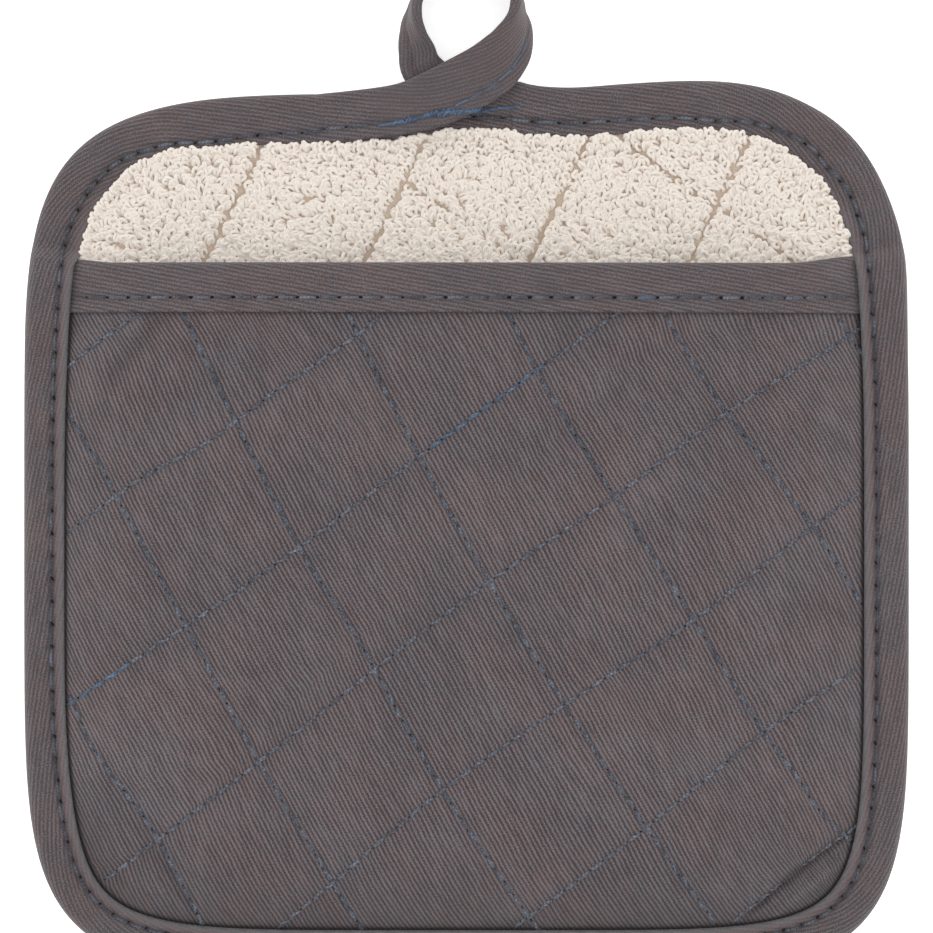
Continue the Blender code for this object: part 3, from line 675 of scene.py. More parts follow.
def body_marks(reach, fine_from, fine_to, step):
    """Marks from 0 out to a reach: a step apart, finer between two marks, then wide apart."""
    inner = np.linspace(0.0, fine_from, int(round(fine_from / step)), endpoint=False)
    fine = np.arange(fine_from, fine_to, FINE_STEP)
    outer = np.linspace(fine_to, reach, 1 + int(math.ceil((reach - fine_to) / WIDE_STEP)))
    return np.concatenate([inner, fine, outer])


def body_grid(across, up):
    """A grid of x and y marks squeezed into the body's outline: each point moves in along its own ray."""
    v, u = np.meshgrid(up / (REACH_UP - PANEL_INSET), across / (HALF_WIDTH - PANEL_INSET), indexing="ij")
    v = np.where(v < 0.0, v * (REACH_UP - PANEL_INSET) / (REACH_DOWN - PANEL_INSET), v)
    power = corner_power(u, v)
    round_size = (np.abs(u) ** power + np.abs(v) ** power) ** (1.0 / power)
    square_size = np.maximum(np.abs(u), np.abs(v))
    squeeze = square_size / np.maximum(round_size, 1e-9)
    reach = np.where(v >= 0.0, REACH_UP, REACH_DOWN) - PANEL_INSET
    return to_body((HALF_WIDTH - PANEL_INSET) * u * squeeze, reach * v * squeeze)


def tubes(lines, radius, sides, flatness=1.0):
    """Strands along many short lines at once (strand, point, xyz), with capped ends.

    Each ring stands square to the line, its height the flatness times its width. U is the length
    along the strand and V the turn round it.
    """
    count, points, _ = lines.shape
    ahead = unit(np.gradient(lines, axis=1))
    start = ahead[:, :1]
    side = np.cross(start, UP)
    weak = np.linalg.norm(side, axis=2, keepdims=True) <= 0.05
    carried = [unit(np.where(weak, np.cross(start, np.array([1.0, 0.0, 0.0])), side))]
    for index in range(1, points):
        way = ahead[:, index:index + 1]
        carried.append(unit(carried[-1] - (carried[-1] * way).sum(2, keepdims=True) * way))
    side = np.concatenate(carried, axis=1)
    over = np.cross(ahead, side)
    angle = np.linspace(0.0, 2.0 * math.pi, sides, endpoint=False)
    radius = np.broadcast_to(radius, (count, points))[:, :, None, None]
    spoke = (np.cos(angle)[:, None] * side[:, :, None, :]
             + flatness * np.sin(angle)[:, None] * over[:, :, None, :])
    ring = lines[:, :, None, :] + radius * spoke
    base = (np.arange(count) * points * sides)[:, None]
    faces = grid_faces(points, sides, closed=True)[None] + base[:, :, None]
    ends = np.arange(sides)
    caps = np.concatenate([base + ends[::-1], base + (points - 1) * sides + ends])
    steps = np.linalg.norm(np.diff(lines, axis=1), axis=2)
    length = np.concatenate([np.zeros((count, 1)), np.cumsum(steps, axis=1)], axis=1)
    uv = np.stack(np.broadcast_arrays(length[:, :, None], angle[None, None, :] / (2.0 * math.pi)), axis=-1)
    return ring.reshape(-1, 3), faces.reshape(-1, 4)[:, ::-1], caps[:, ::-1], uv.reshape(-1, 2)


# ---- materials ----------------------------------------------------------------------------------

# Twill: how its ribs wander, as the size of the noise and its share of a rib.
RIB_WANDERS = ((14.0 * MM, 0.60), (1.6 * MM, 0.26))
STREAK_SIZE = 1.1
STREAK_SQUEEZE = 0.10
STREAK_STRENGTH = 0.75
FLECK_SIZE = 0.38 * MM
CLOUD_SIZE = 26.0 * MM
CLOUD_STRENGTH = 0.40
HUE_SIZES = (2.6 * MM, 22.0 * MM)
COOL_TINT = (0.915, 0.99, 1.005, 1.0)
ROSY_TINT = (1.085, 0.985, 0.945, 1.0)
LIP_TINT = (1.13, 0.995, 0.995, 1.0)
# A painted highlight along a strip lip's very edge: its tint, and how wide it is.
BRINK_HIGHLIGHT_TINT = (0.98, 1.09, 1.09, 1.0)
BRINK = 0.5 * MM
GROUND_THREAD = 0.8 * MM


class Signal:
    """A socket of a node tree. Sums, differences and products of signals are Math nodes."""

    def __init__(self, kit, socket):
        self.kit = kit
        self.socket = socket

    def __add__(self, other):
        return self.kit.math("ADD", self, other)

    def __sub__(self, other):
        return self.kit.math("SUBTRACT", self, other)

    def __rsub__(self, other):
        return self.kit.math("SUBTRACT", other, self)

    def __mul__(self, other):
        return self.kit.math("MULTIPLY", self, other)


class Nodes:
    """Short hands for wiring one material's node tree."""

    def __init__(self, name):
        self.material = bpy.data.materials.new(name)
        self.material.use_nodes = True
        self.tree = self.material.node_tree

    def feed(self, socket, value):
        """Link a signal to a socket, or set a constant on it."""
        if isinstance(value, Signal):
            self.tree.links.new(value.socket, socket)
        else:
            socket.default_value = value

    def add(self, kind, output, inputs=None, **settings):
        """One output of a new node, whose settings are made first and its inputs fed after."""
        node = self.tree.nodes.new(kind)
        for key, value in settings.items():
            setattr(node, key, value)
        for key, value in (inputs or {}).items():
            self.feed(node.inputs[key], value)
        return Signal(self, node.outputs[output])

    def finish(self, values):
        """Feed the shader's own sockets, by their names."""
        for key, value in values.items():
            self.feed(self.tree.nodes["Principled BSDF"].inputs[key], value)
        return self.material

    def uv(self):
        """The cloth's own coordinates, in metres."""
        return self.add("ShaderNodeUVMap", "UV", uv_map="cloth")

    def spot(self):
        """The place in the object's own axes."""
        return self.add("ShaderNodeTexCoord", "Object")

    def shade(self):
        """The mesh's shade at each point."""
        return self.add("ShaderNodeAttribute", "Fac", attribute_name="shade")

    def axes(self, vector):
        """The first two parts of a vector."""
        return [self.add("ShaderNodeSeparateXYZ", axis, {0: vector}) for axis in ("X", "Y")]

    def math(self, operation, first, second=0.0):
        """One Math node."""
        return self.add("ShaderNodeMath", 0, {0: first, 1: second}, operation=operation)

    def scaled(self, vector, scale):
        """A vector or colour times another, part by part."""
        return self.add("ShaderNodeVectorMath", 0, {0: vector, 1: scale}, operation="MULTIPLY")

    def noise(self, vector, size, detail=2.0):
        """Noise of a size, in the vector's own units."""
        inputs = {"Vector": vector, "Scale": 1.0 / size, "Detail": detail}
        return self.add("ShaderNodeTexNoise", "Fac", inputs, noise_dimensions="3D")

    def swing(self, signal, strength):
        """A signal from 0 to 1 made one about 0, as wide as its strength."""
        return signal * strength - 0.5 * strength

    def wave(self, turns):
        """A cosine from 0 to 1, highest at whole turns."""
        return self.math("COSINE", turns * (2.0 * math.pi)) * 0.5 + 0.5

    def limit(self, value, most=1.0):
        """A value held between 0 and the most that it may be."""
        return self.add("ShaderNodeClamp", 0, {"Value": value, "Max": most})

    def blend(self, share, first, second, clamped=True):
        """Two colours mixed: the first at a share of 0, the second at 1."""
        inputs = {"Factor": share, "A": first, "B": second}
        return self.add("ShaderNodeMix", "Result", inputs, data_type="RGBA", clamp_factor=clamped)

    def bump(self, height, distance):
        """The surface's normal, tilted as a relief of this height would tilt it."""
        inputs = {"Strength": 1.0, "Distance": distance, "Height": height}
        return self.add("ShaderNodeBump", "Normal", inputs)


def colour(red, green, blue):
    """A linear colour from the 0 to 255 values that an eye dropper gives."""
    share = np.array([red, green, blue]) / 255.0
    linear = np.where(share <= 0.04045, share / 12.92, ((share + 0.055) / 1.055) ** 2.4)
    return (*linear, 1.0)


def twill_material(name, angle, pitch, groove, rib, relief, mottle, plain_lip=0.0, cross=0.44):
    """Twill: ribs a pitch apart at an angle in the cloth's own UV, stepped by their yarns and heathered.

    A rib is a cosine of the distance across it. Its yarn steps are a cosine along it that moves half
    a step from one rib to the next. Mottle is how strong the small flecks are, cross how strong the
    yarn steps. Within plain_lip of V = 0, a strip's lip, the ribs are pressed flat and the cloth is
    rosier and lighter, the lightness partly a painted highlight; at its very edge a lighter grey-blue
    band is a painted highlight. The shade attribute paints shade and light: 1 on open cloth, less in a
    crevice, towards a near-black red-brown, and a little more on a lit slope.
    """
    kit = Nodes(name)
    uv = kit.uv()
    x, y = kit.axes(uv)
    cosine, sine = math.cos(math.radians(angle)), math.sin(math.radians(angle))
    across = y * (cosine / pitch) - x * (sine / pitch)
    for size, share in RIB_WANDERS:
        across = across + kit.noise(uv, size) * share
    along = x * (cosine / YARN_STEP) + y * (sine / YARN_STEP)
    steps = kit.wave(along + kit.math("FLOOR", across) * 0.5)
    yarn = kit.wave(across) * (steps * cross + (1.0 - cross))
    # Streaks along the ribs: noise on coordinates squeezed along the rib.
    squeezed = kit.add("ShaderNodeCombineXYZ", 0, {0: across, 1: along * STREAK_SQUEEZE})
    streak = kit.noise(squeezed, STREAK_SIZE)
    fleck = kit.noise(uv, FLECK_SIZE, 1.0)
    level = yarn + kit.swing(streak, STREAK_STRENGTH) + kit.swing(fleck, mottle)
    level = level + kit.swing(kit.noise(uv, CLOUD_SIZE), CLOUD_STRENGTH)
    hue = kit.limit((kit.noise(uv, HUE_SIZES[0]) + kit.noise(uv, HUE_SIZES[1])) * 1.7 - 1.2)
    tint = kit.blend(hue, COOL_TINT, ROSY_TINT)
    if plain_lip:
        # On a strip's lip the ribs are pressed flat; its lighter level is partly a painted highlight on the
        # raised lip.
        lip = kit.limit(1.35 - y * (1.0 / plain_lip))
        level = level * (lip * -0.62 + 1.0) + lip * 0.52
        tint = kit.blend(lip * 0.8, tint, LIP_TINT)
        # A painted highlight, lighter grey-blue, along the lip's very edge.
        tint = kit.blend(kit.limit(1.6 - y * (1.0 / BRINK)), tint, BRINK_HIGHLIGHT_TINT)
    base = kit.blend(kit.limit(level, 1.2), groove, rib)
    # Painted shade and light: the shade attribute blends the cloth towards a near-black red-brown, and past
    # 1 lightens it.
    cloth = kit.blend(kit.shade(), colour(22, 14, 14), kit.scaled(base, tint), clamped=False)
    return kit.finish({"Base Color": cloth, "Roughness": 0.92, "Sheen Weight": 0.12, "Sheen Roughness": 0.6,
                       "Specular IOR Level": 0.25, "Normal": kit.bump(yarn + fleck * 0.5, relief)})


def yarn_material(name, dark, light, twist, plies, relief, contrast, roughness=0.95, painted_glow=0.0, flecks=0.4):
    """Plied yarn: a spiral groove round the strand, and each strand's shade between two colours.
    That shade is its own tone together with painted shade and painted highlights.

    Contrast is how dark the groove is, flecks how strong the small spots are. The glow is painted
    light: the yarn emits its light colour, though it is no lamp, lifting the shade among the loops in
    place of the light that white cotton passes on inside itself.
    """
    kit = Nodes(name)
    x, y = kit.axes(kit.uv())
    spiral = x * (1.0 / twist) + y * float(plies)
    ply = kit.math("ABSOLUTE", kit.math("SINE", spiral * math.pi))
    level = kit.shade() * 0.8 + kit.swing(kit.noise(kit.spot(), 0.45 * MM), flecks) + 0.1
    level = level * (ply * contrast + (1.0 - contrast))
    return kit.finish({"Base Color": kit.blend(kit.limit(level), dark, light), "Roughness": roughness,
                       "Sheen Weight": 0.15, "Specular IOR Level": 0.3, "Emission Color": light,
                       "Emission Strength": painted_glow, "Normal": kit.bump(ply, relief)})


def ground_material():
    """The towelling's ground cloth: a darker tan, painted shade among the loops, a fine plain weave of
    crossed cosines.
    """
    kit = Nodes("towelling_ground")
    spot = kit.spot()
    warp, weft = (kit.math("COSINE", axis * (2.0 * math.pi / GROUND_THREAD)) for axis in kit.axes(spot))
    level = (warp * weft * 0.5 + 0.5) * 0.5 + kit.noise(spot, 1.2 * MM) * 0.6
    return kit.finish({"Base Color": kit.blend(level, colour(171, 153, 137), colour(203, 187, 172)),
                       "Roughness": 0.95, "Normal": kit.bump(level, 0.2 * MM)})


def hole_shadow_material():
    """The painted shadow in a needle hole: near black, a little uneven."""
    kit = Nodes("needle_hole_shadow")
    dark = kit.blend(kit.noise(kit.spot(), 0.3 * MM), colour(16, 16, 19), colour(40, 40, 46))
    return kit.finish({"Base Color": dark, "Roughness": 1.0, "Specular IOR Level": 0.0})


def make_materials():
    """Every finish of the pot holder, by name."""
    return {
        "panel": twill_material("panel_twill", PANEL_WALE_ANGLE, PANEL_WALE_PITCH, colour(55, 48, 51),
                                colour(113, 104.5, 107.5), 0.10 * MM, 1.3),
        "strip": twill_material("strip_twill", STRIP_WALE_ANGLE, STRIP_WALE_PITCH, colour(66, 58.5, 61),
                                colour(108, 100, 102.5), 0.11 * MM, 2.4, plain_lip=2.0 * MM, cross=0.70),
        "loop": twill_material("loop_twill", STRIP_WALE_ANGLE, STRIP_WALE_PITCH, colour(72, 65, 67.5),
                               colour(99, 92, 95), 0.08 * MM, 2.4, plain_lip=2.0 * MM, cross=0.70),
        "ground": ground_material(),
        # Towelling yarn: the darker tan is painted shade towards the loops' feet; the glow is painted
        # light.
        "terry": yarn_material("towelling_yarn", colour(199, 183, 169), colour(199, 193, 186), 1.9 * MM, 2,
                               0.035 * MM, 0.13, painted_glow=0.37),
        "thread": yarn_material("sewing_thread", colour(43, 46, 55), colour(122, 129, 143), 0.9 * MM, 1,
                                0.06 * MM, 0.6, roughness=0.7, flecks=1.3),
        "rising_thread": yarn_material("rising_thread", colour(53, 53, 61), colour(133, 138, 151),
                                       1.05 * MM, 1, 0.08 * MM, 0.8, roughness=0.7, flecks=1.4),
        "blue_thread": yarn_material("blue_thread", colour(38, 50, 68), colour(112, 138, 166), 0.9 * MM, 1,
                                     0.06 * MM, 0.5, roughness=0.6),
        "bar_thread": yarn_material("bar_thread", colour(40, 51, 70), colour(100, 126, 155), 0.9 * MM, 1,
                                    0.06 * MM, 0.5, roughness=0.6),
        "hole": hole_shadow_material(),
    }


# ---- strips -------------------------------------------------------------------------------------

# Points round a folded section: the upper leaf's face, the nose and the lower leaf's face, then inside.
FACE_POINTS = 16
NOSE_POINTS = 7
BACK_POINTS = 8
OUTER_POINTS = FACE_POINTS + NOSE_POINTS + BACK_POINTS
INNER_POINTS = 6
INNER_NOSE_POINTS = 3
INNER_LIP = 0.97
LIP_LIFTS = (0.80, 0.45, 0.12)
HIDDEN_SHADE = 0.35


def leaf_rows(shares, side, lifts):
    """Section rows on one leaf: no nose turn, shares across the leaf, its side and shares of its lift."""
    shares, lifts = np.broadcast_arrays(shares, lifts)
    return np.column_stack([np.zeros(len(shares)), shares, np.full(len(shares), side), lifts])


def nose_rows(start, end, points, lift):
    """Section rows round the fold, without its ends: the sine and the cosine of the turn."""
    turns = np.linspace(start, end, points + 2)[1:-1]
    return np.column_stack([np.sin(turns), np.zeros(points), np.cos(turns), np.full(points, lift)])


def folded_section():
    """A strip folded over an edge, as columns: nose turn, share across the leaf, side, lift share.

    The run goes along the upper leaf from its lip to the fold, round the nose and back under to the
    lower lip, then returns along the inside.
    """
    inner = np.linspace(INNER_LIP, 0.0, INNER_POINTS)
    section = np.vstack([
        leaf_rows(np.linspace(1.0, 0.0, FACE_POINTS), 1.0, 1.0),
        nose_rows(0.0, math.pi, NOSE_POINTS, 1.0),
        leaf_rows(np.linspace(0.0, 1.0, BACK_POINTS), -1.0, 1.0),
        leaf_rows(1.0, -1.0, LIP_LIFTS),
        leaf_rows(inner, -1.0, 0.0),
        nose_rows(math.pi, 0.0, INNER_NOSE_POINTS, 0.0),
        leaf_rows(inner[::-1], 1.0, 0.0),
        leaf_rows(1.0, 1.0, LIP_LIFTS[::-1]),
    ])
    return (section[None, :, column] for column in range(4))


def lip_round(share, lift, leaf):
    """How much further or less far than the width a lip's points reach: a half circle over its lift."""
    circle = np.sqrt(np.maximum(1.0 - (2.0 * lift - 1.0) ** 2, 0.0))
    return np.where(share >= 1.0, leaf * (0.5 * circle - 0.25), 0.0)


def stitch_relief(along, from_row, pitch, depth, lip_side):
    """A row of stitches in a strip: a groove that is deepest at each needle hole, and a puffed lip.

    From_row is the distance from the row, positive towards the lip.
    """
    beat = beats(along, pitch)
    groove = depth * (0.45 + 0.55 * beat) * bell(from_row, 0.0, 0.75 * MM)
    return 0.30 * depth * (1.0 - beat) * bell(from_row, lip_side, 1.1 * MM) - groove


def row_shade(along, from_row, pitch, depth, wide):
    """Shade beside a row of stitches: darkest in the groove, near each needle hole."""
    return 1.0 - depth * (0.55 + 0.45 * beats(along, pitch)) * bell(from_row, 0.0, wide)


def lip_wall_shade_mask(share, side, lift):
    """1 on the small wall of the upper leaf's lip, where painted shade falls; 0 elsewhere on a folded
    strip's section.
    """
    return ((share >= 1.0) & (side > 0.0) & (lift < 1.0)).astype(float)


def on_strip(strip, key, along):
    """A strip's value at lengths along it, between its stations."""
    return np.interp(along, strip["run"], strip[key])


def strip_surface(strip, along, inset, side, lift):
    """Places on a strip: from its fold line in along the across direction and off its middle plane."""
    fold, across, up = (between(along, strip["run"], strip[key]) for key in ("fold", "across", "up"))
    off = side * (on_strip(strip, "half", along) + lift)
    return fold + across * inset[..., None] + up * off[..., None]


def section_uv(points, run, side, inset, width):
    """Cloth coordinates of a folded strip: the run along it, and the length round it from its upper lip."""
    steps = np.linalg.norm(np.diff(points[:, :OUTER_POINTS], axis=1), axis=2)
    around = np.concatenate([np.zeros((len(points), 1)), np.cumsum(steps, axis=1)], axis=1)
    within = np.broadcast_to(width - side * inset, points.shape[:2])[:, OUTER_POINTS:]
    lengthwise = np.broadcast_to(run, points.shape[:2])
    return np.stack([lengthwise, np.concatenate([around, within], axis=1)], axis=-1)


def tape_faces(points):
    """A carried section's quads, and its two ends, each closed with one many-sided face."""
    rows, columns = points.shape[:2]
    first = np.arange(columns)[None]
    return grid_faces(rows, columns, closed=True)[:, ::-1], [first, (first + (rows - 1) * columns)[:, ::-1]]


def edge_tape(step):
    """The edge binding's stations from its start under the loop, clockwise, and out along the loop.

    Round the body the fold line is the outline at half the binding's height. The tail's rows are
    middle points, so its fold line lies half a width from them, against the across direction.
    """
    points, inward, run, length = outline_stations(step)
    kept = run < length + (TAIL_START_X - RING_START_X)
    points, inward, run = points[kept], inward[kept], run[kept]
    height = binding_height(points[:, 1])
    width = binding_width(points, inward)
    ring = np.column_stack([points + 0.5 * width[:, None] * inward, 0.5 * height, width, height]) / MM
    joined = ring[[-1 - int(8.0 * MM / step), -1 - int(4.0 * MM / step), -1]]
    route = through(np.vstack([np.column_stack([joined, np.zeros(3)]), LOOP_ROUTE]))[2 * SPLINE_STEPS:]
    tail_run = run_length(route[:, :3])
    wanted = np.linspace(0.0, tail_run[-1], int(tail_run[-1] * MM / step))[1:]
    tail = between(wanted, tail_run, route)
    none = np.zeros(len(tail))
    ahead = unit(np.gradient(tail[:, :3], axis=0))
    tilt = np.radians(tail[:, 5])[:, None]
    across = unit(np.column_stack([ahead[:, 1], -ahead[:, 0], none])) * np.cos(tilt) - UP * np.sin(tilt)
    across = unit(across - (across * ahead).sum(1, keepdims=True) * ahead)
    tail_fold = (tail[:, :3] - 0.5 * across * tail[:, 3:4]) * MM
    fold = np.vstack([np.column_stack([points, 0.5 * height]), tail_fold])
    thick = np.concatenate([height, tail[:, 4] * MM])
    heading = np.unwrap(np.arctan2(inward[:, 1], inward[:, 0]))
    leaf = np.minimum(LEAF, 0.42 * thick)
    beside = 1.0 - ramp(points[:, 1], BESIDE_Y, BESIDE_EASE)
    table = through(TOP_ROW) * MM
    upper = ramp(points[:, 1], TOP_ROW_FROM_Y, TOP_ROW_EASE)
    wanders = np.interp(points[:, 0], table[:, 0], table[:, 1]) - STITCH_INSET_SIDE
    from_lip = STITCH_INSET_SIDE + upper * wanders + corner_fullness(points)
    width = np.concatenate([width, tail[:, 3] * MM])
    return {"fold": fold, "across": np.vstack([np.column_stack([inward, np.zeros(len(points))]), across]),
            "up": np.vstack([np.tile(UP, (len(points), 1)), np.cross(across, ahead)]),
            "leaf": leaf, "thick": thick, "half": 0.5 * thick - leaf, "width": width,
            "row": width - np.concatenate([from_lip, none + STITCH_INSET]),
            "beside": np.concatenate([beside, none]),
            "bend": np.concatenate([np.abs(np.gradient(heading)) / step, none]),
            "run": np.concatenate([run, run[-1] + wanted * MM]), "tail_from": float(run[-1])}


def edge_relief(along, inset, width, row, bend):
    """The binding's own surface: its stitched row, puckers where it turns a corner, slight slackness."""
    relief = stitch_relief(along, inset - row, BINDING_PITCH, EDGE_GROOVE, EDGE_PUFF)
    turns = along / PUCKER_PITCH + 3.0 / (2.0 * math.pi) * soft_noise(along, inset, 11.0 * MM, 8)
    pucker = np.clip(bend / FULL_BEND, 0.0, 1.0) * beats(turns, 1.0) * ease(inset / width)
    relief = relief - PUCKER_DEPTH * pucker
    relief = relief + 0.14 * MM * soft_noise(along, inset, 8.0 * MM, 9)
    return relief + 0.06 * MM * soft_noise(along, inset, 2.6 * MM, 10)


def make_edge_binding(materials):
    """The edge binding and its loop: one folded section carried clockwise round and up into the loop."""
    tape = edge_tape(EDGE_STEP)
    nose, share, side, lift = folded_section()
    run, width, row = (tape[key][:, None] for key in ("run", "width", "row"))
    bend, thick, leaf, beside = (tape[key][:, None] for key in ("bend", "thick", "leaf", "beside"))
    turn = np.minimum(BINDING_NOSE, 0.5 * thick + 0.1 * MM)
    start = np.where(lift > 0.0, 0.0, np.minimum(BINDING_WALL, leaf + 0.1 * MM))
    inset = start + (turn - start) * (1.0 - nose) + share * (width - turn) + lip_round(share, lift, LEAF)
    relief = edge_relief(run, inset, width, row, bend) * np.clip(leaf / LEAF, 0.4, 1.0)
    keep = np.where(side > 0.0, 1.0, 0.25) * ease((1.0 - nose) / 0.5)
    rise = leaf * lift + relief * keep * (0.25 + 0.75 * lift)
    rise = np.where(side < 0.0, np.minimum(rise, leaf * lift), rise)
    points = strip_surface(tape, run, inset, side, rise)
    uv = section_uv(strip_surface(tape, run, inset, side, leaf * lift), run, side, inset, width)
    uv[..., 1] += RIBBED_LIP * (1.0 - beside)
    high_turn = np.clip(bend / FULL_BEND, 0.0, 1.0) * (1.0 - beside)
    depth = 0.52 + 0.23 * beside + 0.14 * high_turn
    depth = np.where(run > tape["tail_from"] + LOOP_SHADE_FROM, 0.25, depth)
    wide = (0.60 + 0.15 * beside + 0.35 * high_turn) * MM
    shade = row_shade(run, inset - row, BINDING_PITCH, depth, wide)
    # Painted shade on the lip's small wall, darker along the top than beside the pocket.
    shade = shade * (1.0 - lip_wall_shade_mask(share, side, lift) * (0.45 - 0.35 * beside))
    # Painted shade: darker towards the bottom, where the binding's slope turns from the light.
    shade = shade * (1.0 - 0.08 * ramp(points[..., 1], -84.0 * MM, -16.0 * MM))
    faces, ends = tape_faces(points)
    in_loop = run[faces.min(axis=1) // points.shape[1], 0] > tape["tail_from"] + LOOP_CLOTH_FROM
    piece = make_piece("edge_binding_tape", points, faces, [materials["strip"], materials["loop"]],
                       uv=uv, caps=ends, material_index=np.append(in_loop, (False, True)),
                       shades=np.where(lift > 0.0, shade, HIDDEN_SHADE))
    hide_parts("edge_binding", "hanging_loop")
    return tape, points[:, :OUTER_POINTS]


def strip_lines(count):
    """X of the mouth strip's stations at its upper and lower edge, leaning with the side seams."""
    lines = []
    for level in (MOUTH_Y, MOUTH_Y - STRIP_WIDTH):
        near = np.abs(OUTLINE[:, 1] - level)
        sides = []
        for side in (-1.0, 1.0):
            best = np.argmin(near + np.where(OUTLINE[:, 0] * side > 0.0, 0.0, 1.0))
            sides.append(OUTLINE[best, 0] - side * PANEL_INSET)
        lines.append(np.linspace(*sides, count))
    return lines


def strip_place(upper, lower, inset, side, lift):
    """Places on the mouth strip: it lies on the pocket's pressed faces, a gap clear of them.

    Its upper edge rises a little towards both ends, more at the right.
    """
    x = upper + (lower - upper) * inset / STRIP_WIDTH
    rise = STRIP_RISE_RIGHT * ramp(x, 73.0 * MM, 17.0 * MM)
    rise = rise + STRIP_RISE_LEFT * ramp(x, -80.0 * MM, -10.0 * MM)
    y = mouth_height(x) - inset + rise * (1.0 - inset / STRIP_WIDTH)
    held = mouth_height(x) - np.maximum(inset, PANEL_INSET)
    under = pocket_low(x, held) - GAP
    over = pocket_high(x, held, quilted=False) + GAP
    z = 0.5 * (under + over) + side * (0.5 * (over - under) + lift)
    return np.stack([x, y, z], axis=-1)


def mouth_relief(x, inset):
    """The mouth strip's own surface: its stitched row and slight slackness."""
    relief = stitch_relief(x, inset - STRIP_ROW, STRIP_PITCH, STRIP_GROOVE, STRIP_PUFF)
    relief = relief + 0.16 * MM * soft_noise(x, inset, 9.0 * MM, 12)
    return relief + 0.05 * MM * soft_noise(x, inset, 2.4 * MM, 13)


def make_pocket_binding(materials):
    """The pocket's mouth strip: the folded section carried from one side seam to the other."""
    nose, share, side, lift = folded_section()
    upper, lower = (line[:, None] for line in strip_lines(STRIP_STATIONS))
    start = np.where(lift > 0.0, 0.0, STRIP_WALL)
    inset = start + (PANEL_INSET - start) * (1.0 - nose)
    inset = inset + share * (STRIP_WIDTH - PANEL_INSET) + lip_round(share, lift, STRIP_LEAF)
    keep = np.where(side > 0.0, 1.0, 0.3) * ease((1.0 - nose) / 0.5) * (lift > 0.0)
    points = strip_place(upper, lower, inset, side, STRIP_LEAF * lift + mouth_relief(upper, inset) * keep)
    smooth = strip_place(upper, lower, inset, side, STRIP_LEAF * lift)
    uv = section_uv(smooth, upper, side, inset, STRIP_WIDTH)
    uv[..., 1] += RIBBED_LIP
    # Painted shade in the row's groove and on the lip's small wall; the hidden inner faces darker still.
    shade = row_shade(upper, inset - STRIP_ROW, STRIP_PITCH, 0.45, 0.55 * MM)
    shade = np.where(lift > 0.0, shade * (1.0 - 0.45 * lip_wall_shade_mask(share, side, lift)), HIDDEN_SHADE)
    faces, ends = tape_faces(points)
    piece = make_piece("pocket_binding_tape", points, faces, [materials["strip"]], uv=uv,
                       caps=ends, shades=shade)
    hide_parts("pocket_binding")


# ---- thread -------------------------------------------------------------------------------------

STITCH_POINTS = 7
STITCH_SHARE = np.linspace(0.0, 1.0, STITCH_POINTS)
HOLE_SHADOW_SIDES = 6
HOLE_SHADOW_THICK = 0.10 * MM
QUILT_HOLE_SHADOW = (0.32 * MM, 0.22 * MM)


def stitch_lines(place, starts, length, sink, crown):
    """Stitches as short arches: place(along, lift) gives the cloth's surface, ends dip into it."""
    along = starts[:, None] + STITCH_SHARE * length
    arch = 1.0 - np.abs(2.0 * STITCH_SHARE - 1.0) ** 4
    return place(along, np.broadcast_to(arch * (crown + sink) - sink, along.shape))


def holes_between(place, starts, lift):
    """Needle holes at the stitches' starts, lifted off the cloth, and the way that the row goes."""
    ends = place(starts, lift)
    return ends, unit(place(starts + 0.4 * MM, np.zeros(len(starts))) - ends)


def plied(lines, spread, seed):
    """Two strands for each stitch, wound round each other: sideways a sine, in height a cosine.

    Each pair also drifts a little off its row and turns from a start of its own.
    """
    draw = np.random.default_rng(seed)
    count, points, _ = lines.shape
    side = unit(np.cross(lines[:, -1:] - lines[:, :1], UP))
    first_turn = draw.uniform(0.0, 1.0, (count, 1, 1))
    turn = 2.0 * math.pi * (np.linspace(0.0, 0.9, points)[None, :, None] + first_turn)
    drift = spread * draw.normal(0.0, 0.35, (count, points, 1))
    return np.concatenate([lines + (sign * spread * np.sin(turn) + drift) * side
                           + sign * np.cos(turn) * 0.4 * spread * UP for sign in (1.0, -1.0)])


def thread_piece(name, lines, material, seed, bright=0.0, radius=THREAD_RADIUS, glint=0.0, dips=0.6,
                 sides=6):
    """Join stitches into one mesh. Each has its own tone, painted shade where it dives, and a few
    get a painted highlight.

    Glint is how strong a painted highlight on each one's first part is, a bell curve along it.
    """
    points, faces, caps, uv = tubes(lines, radius, sides, THREAD_FLATNESS)
    count = len(lines)
    draw = np.random.default_rng(seed)
    # Own tone, a few stitches lifted by a painted highlight; painted shade at the ends and a painted glint.
    own = draw.uniform(0.08, 0.66, count) + bright + 0.25 * (draw.uniform(0.0, 1.0, count) > 0.97)
    shine = glint * bell(STITCH_SHARE, 0.2, 0.12) * draw.uniform(0.2, 1.0, (count, 1))
    shades = own[:, None] * np.sin(math.pi * STITCH_SHARE) ** dips + shine
    make_piece(name, points, faces, [material], uv=uv, caps=[caps],
               shades=np.repeat(shades.ravel(), sides))


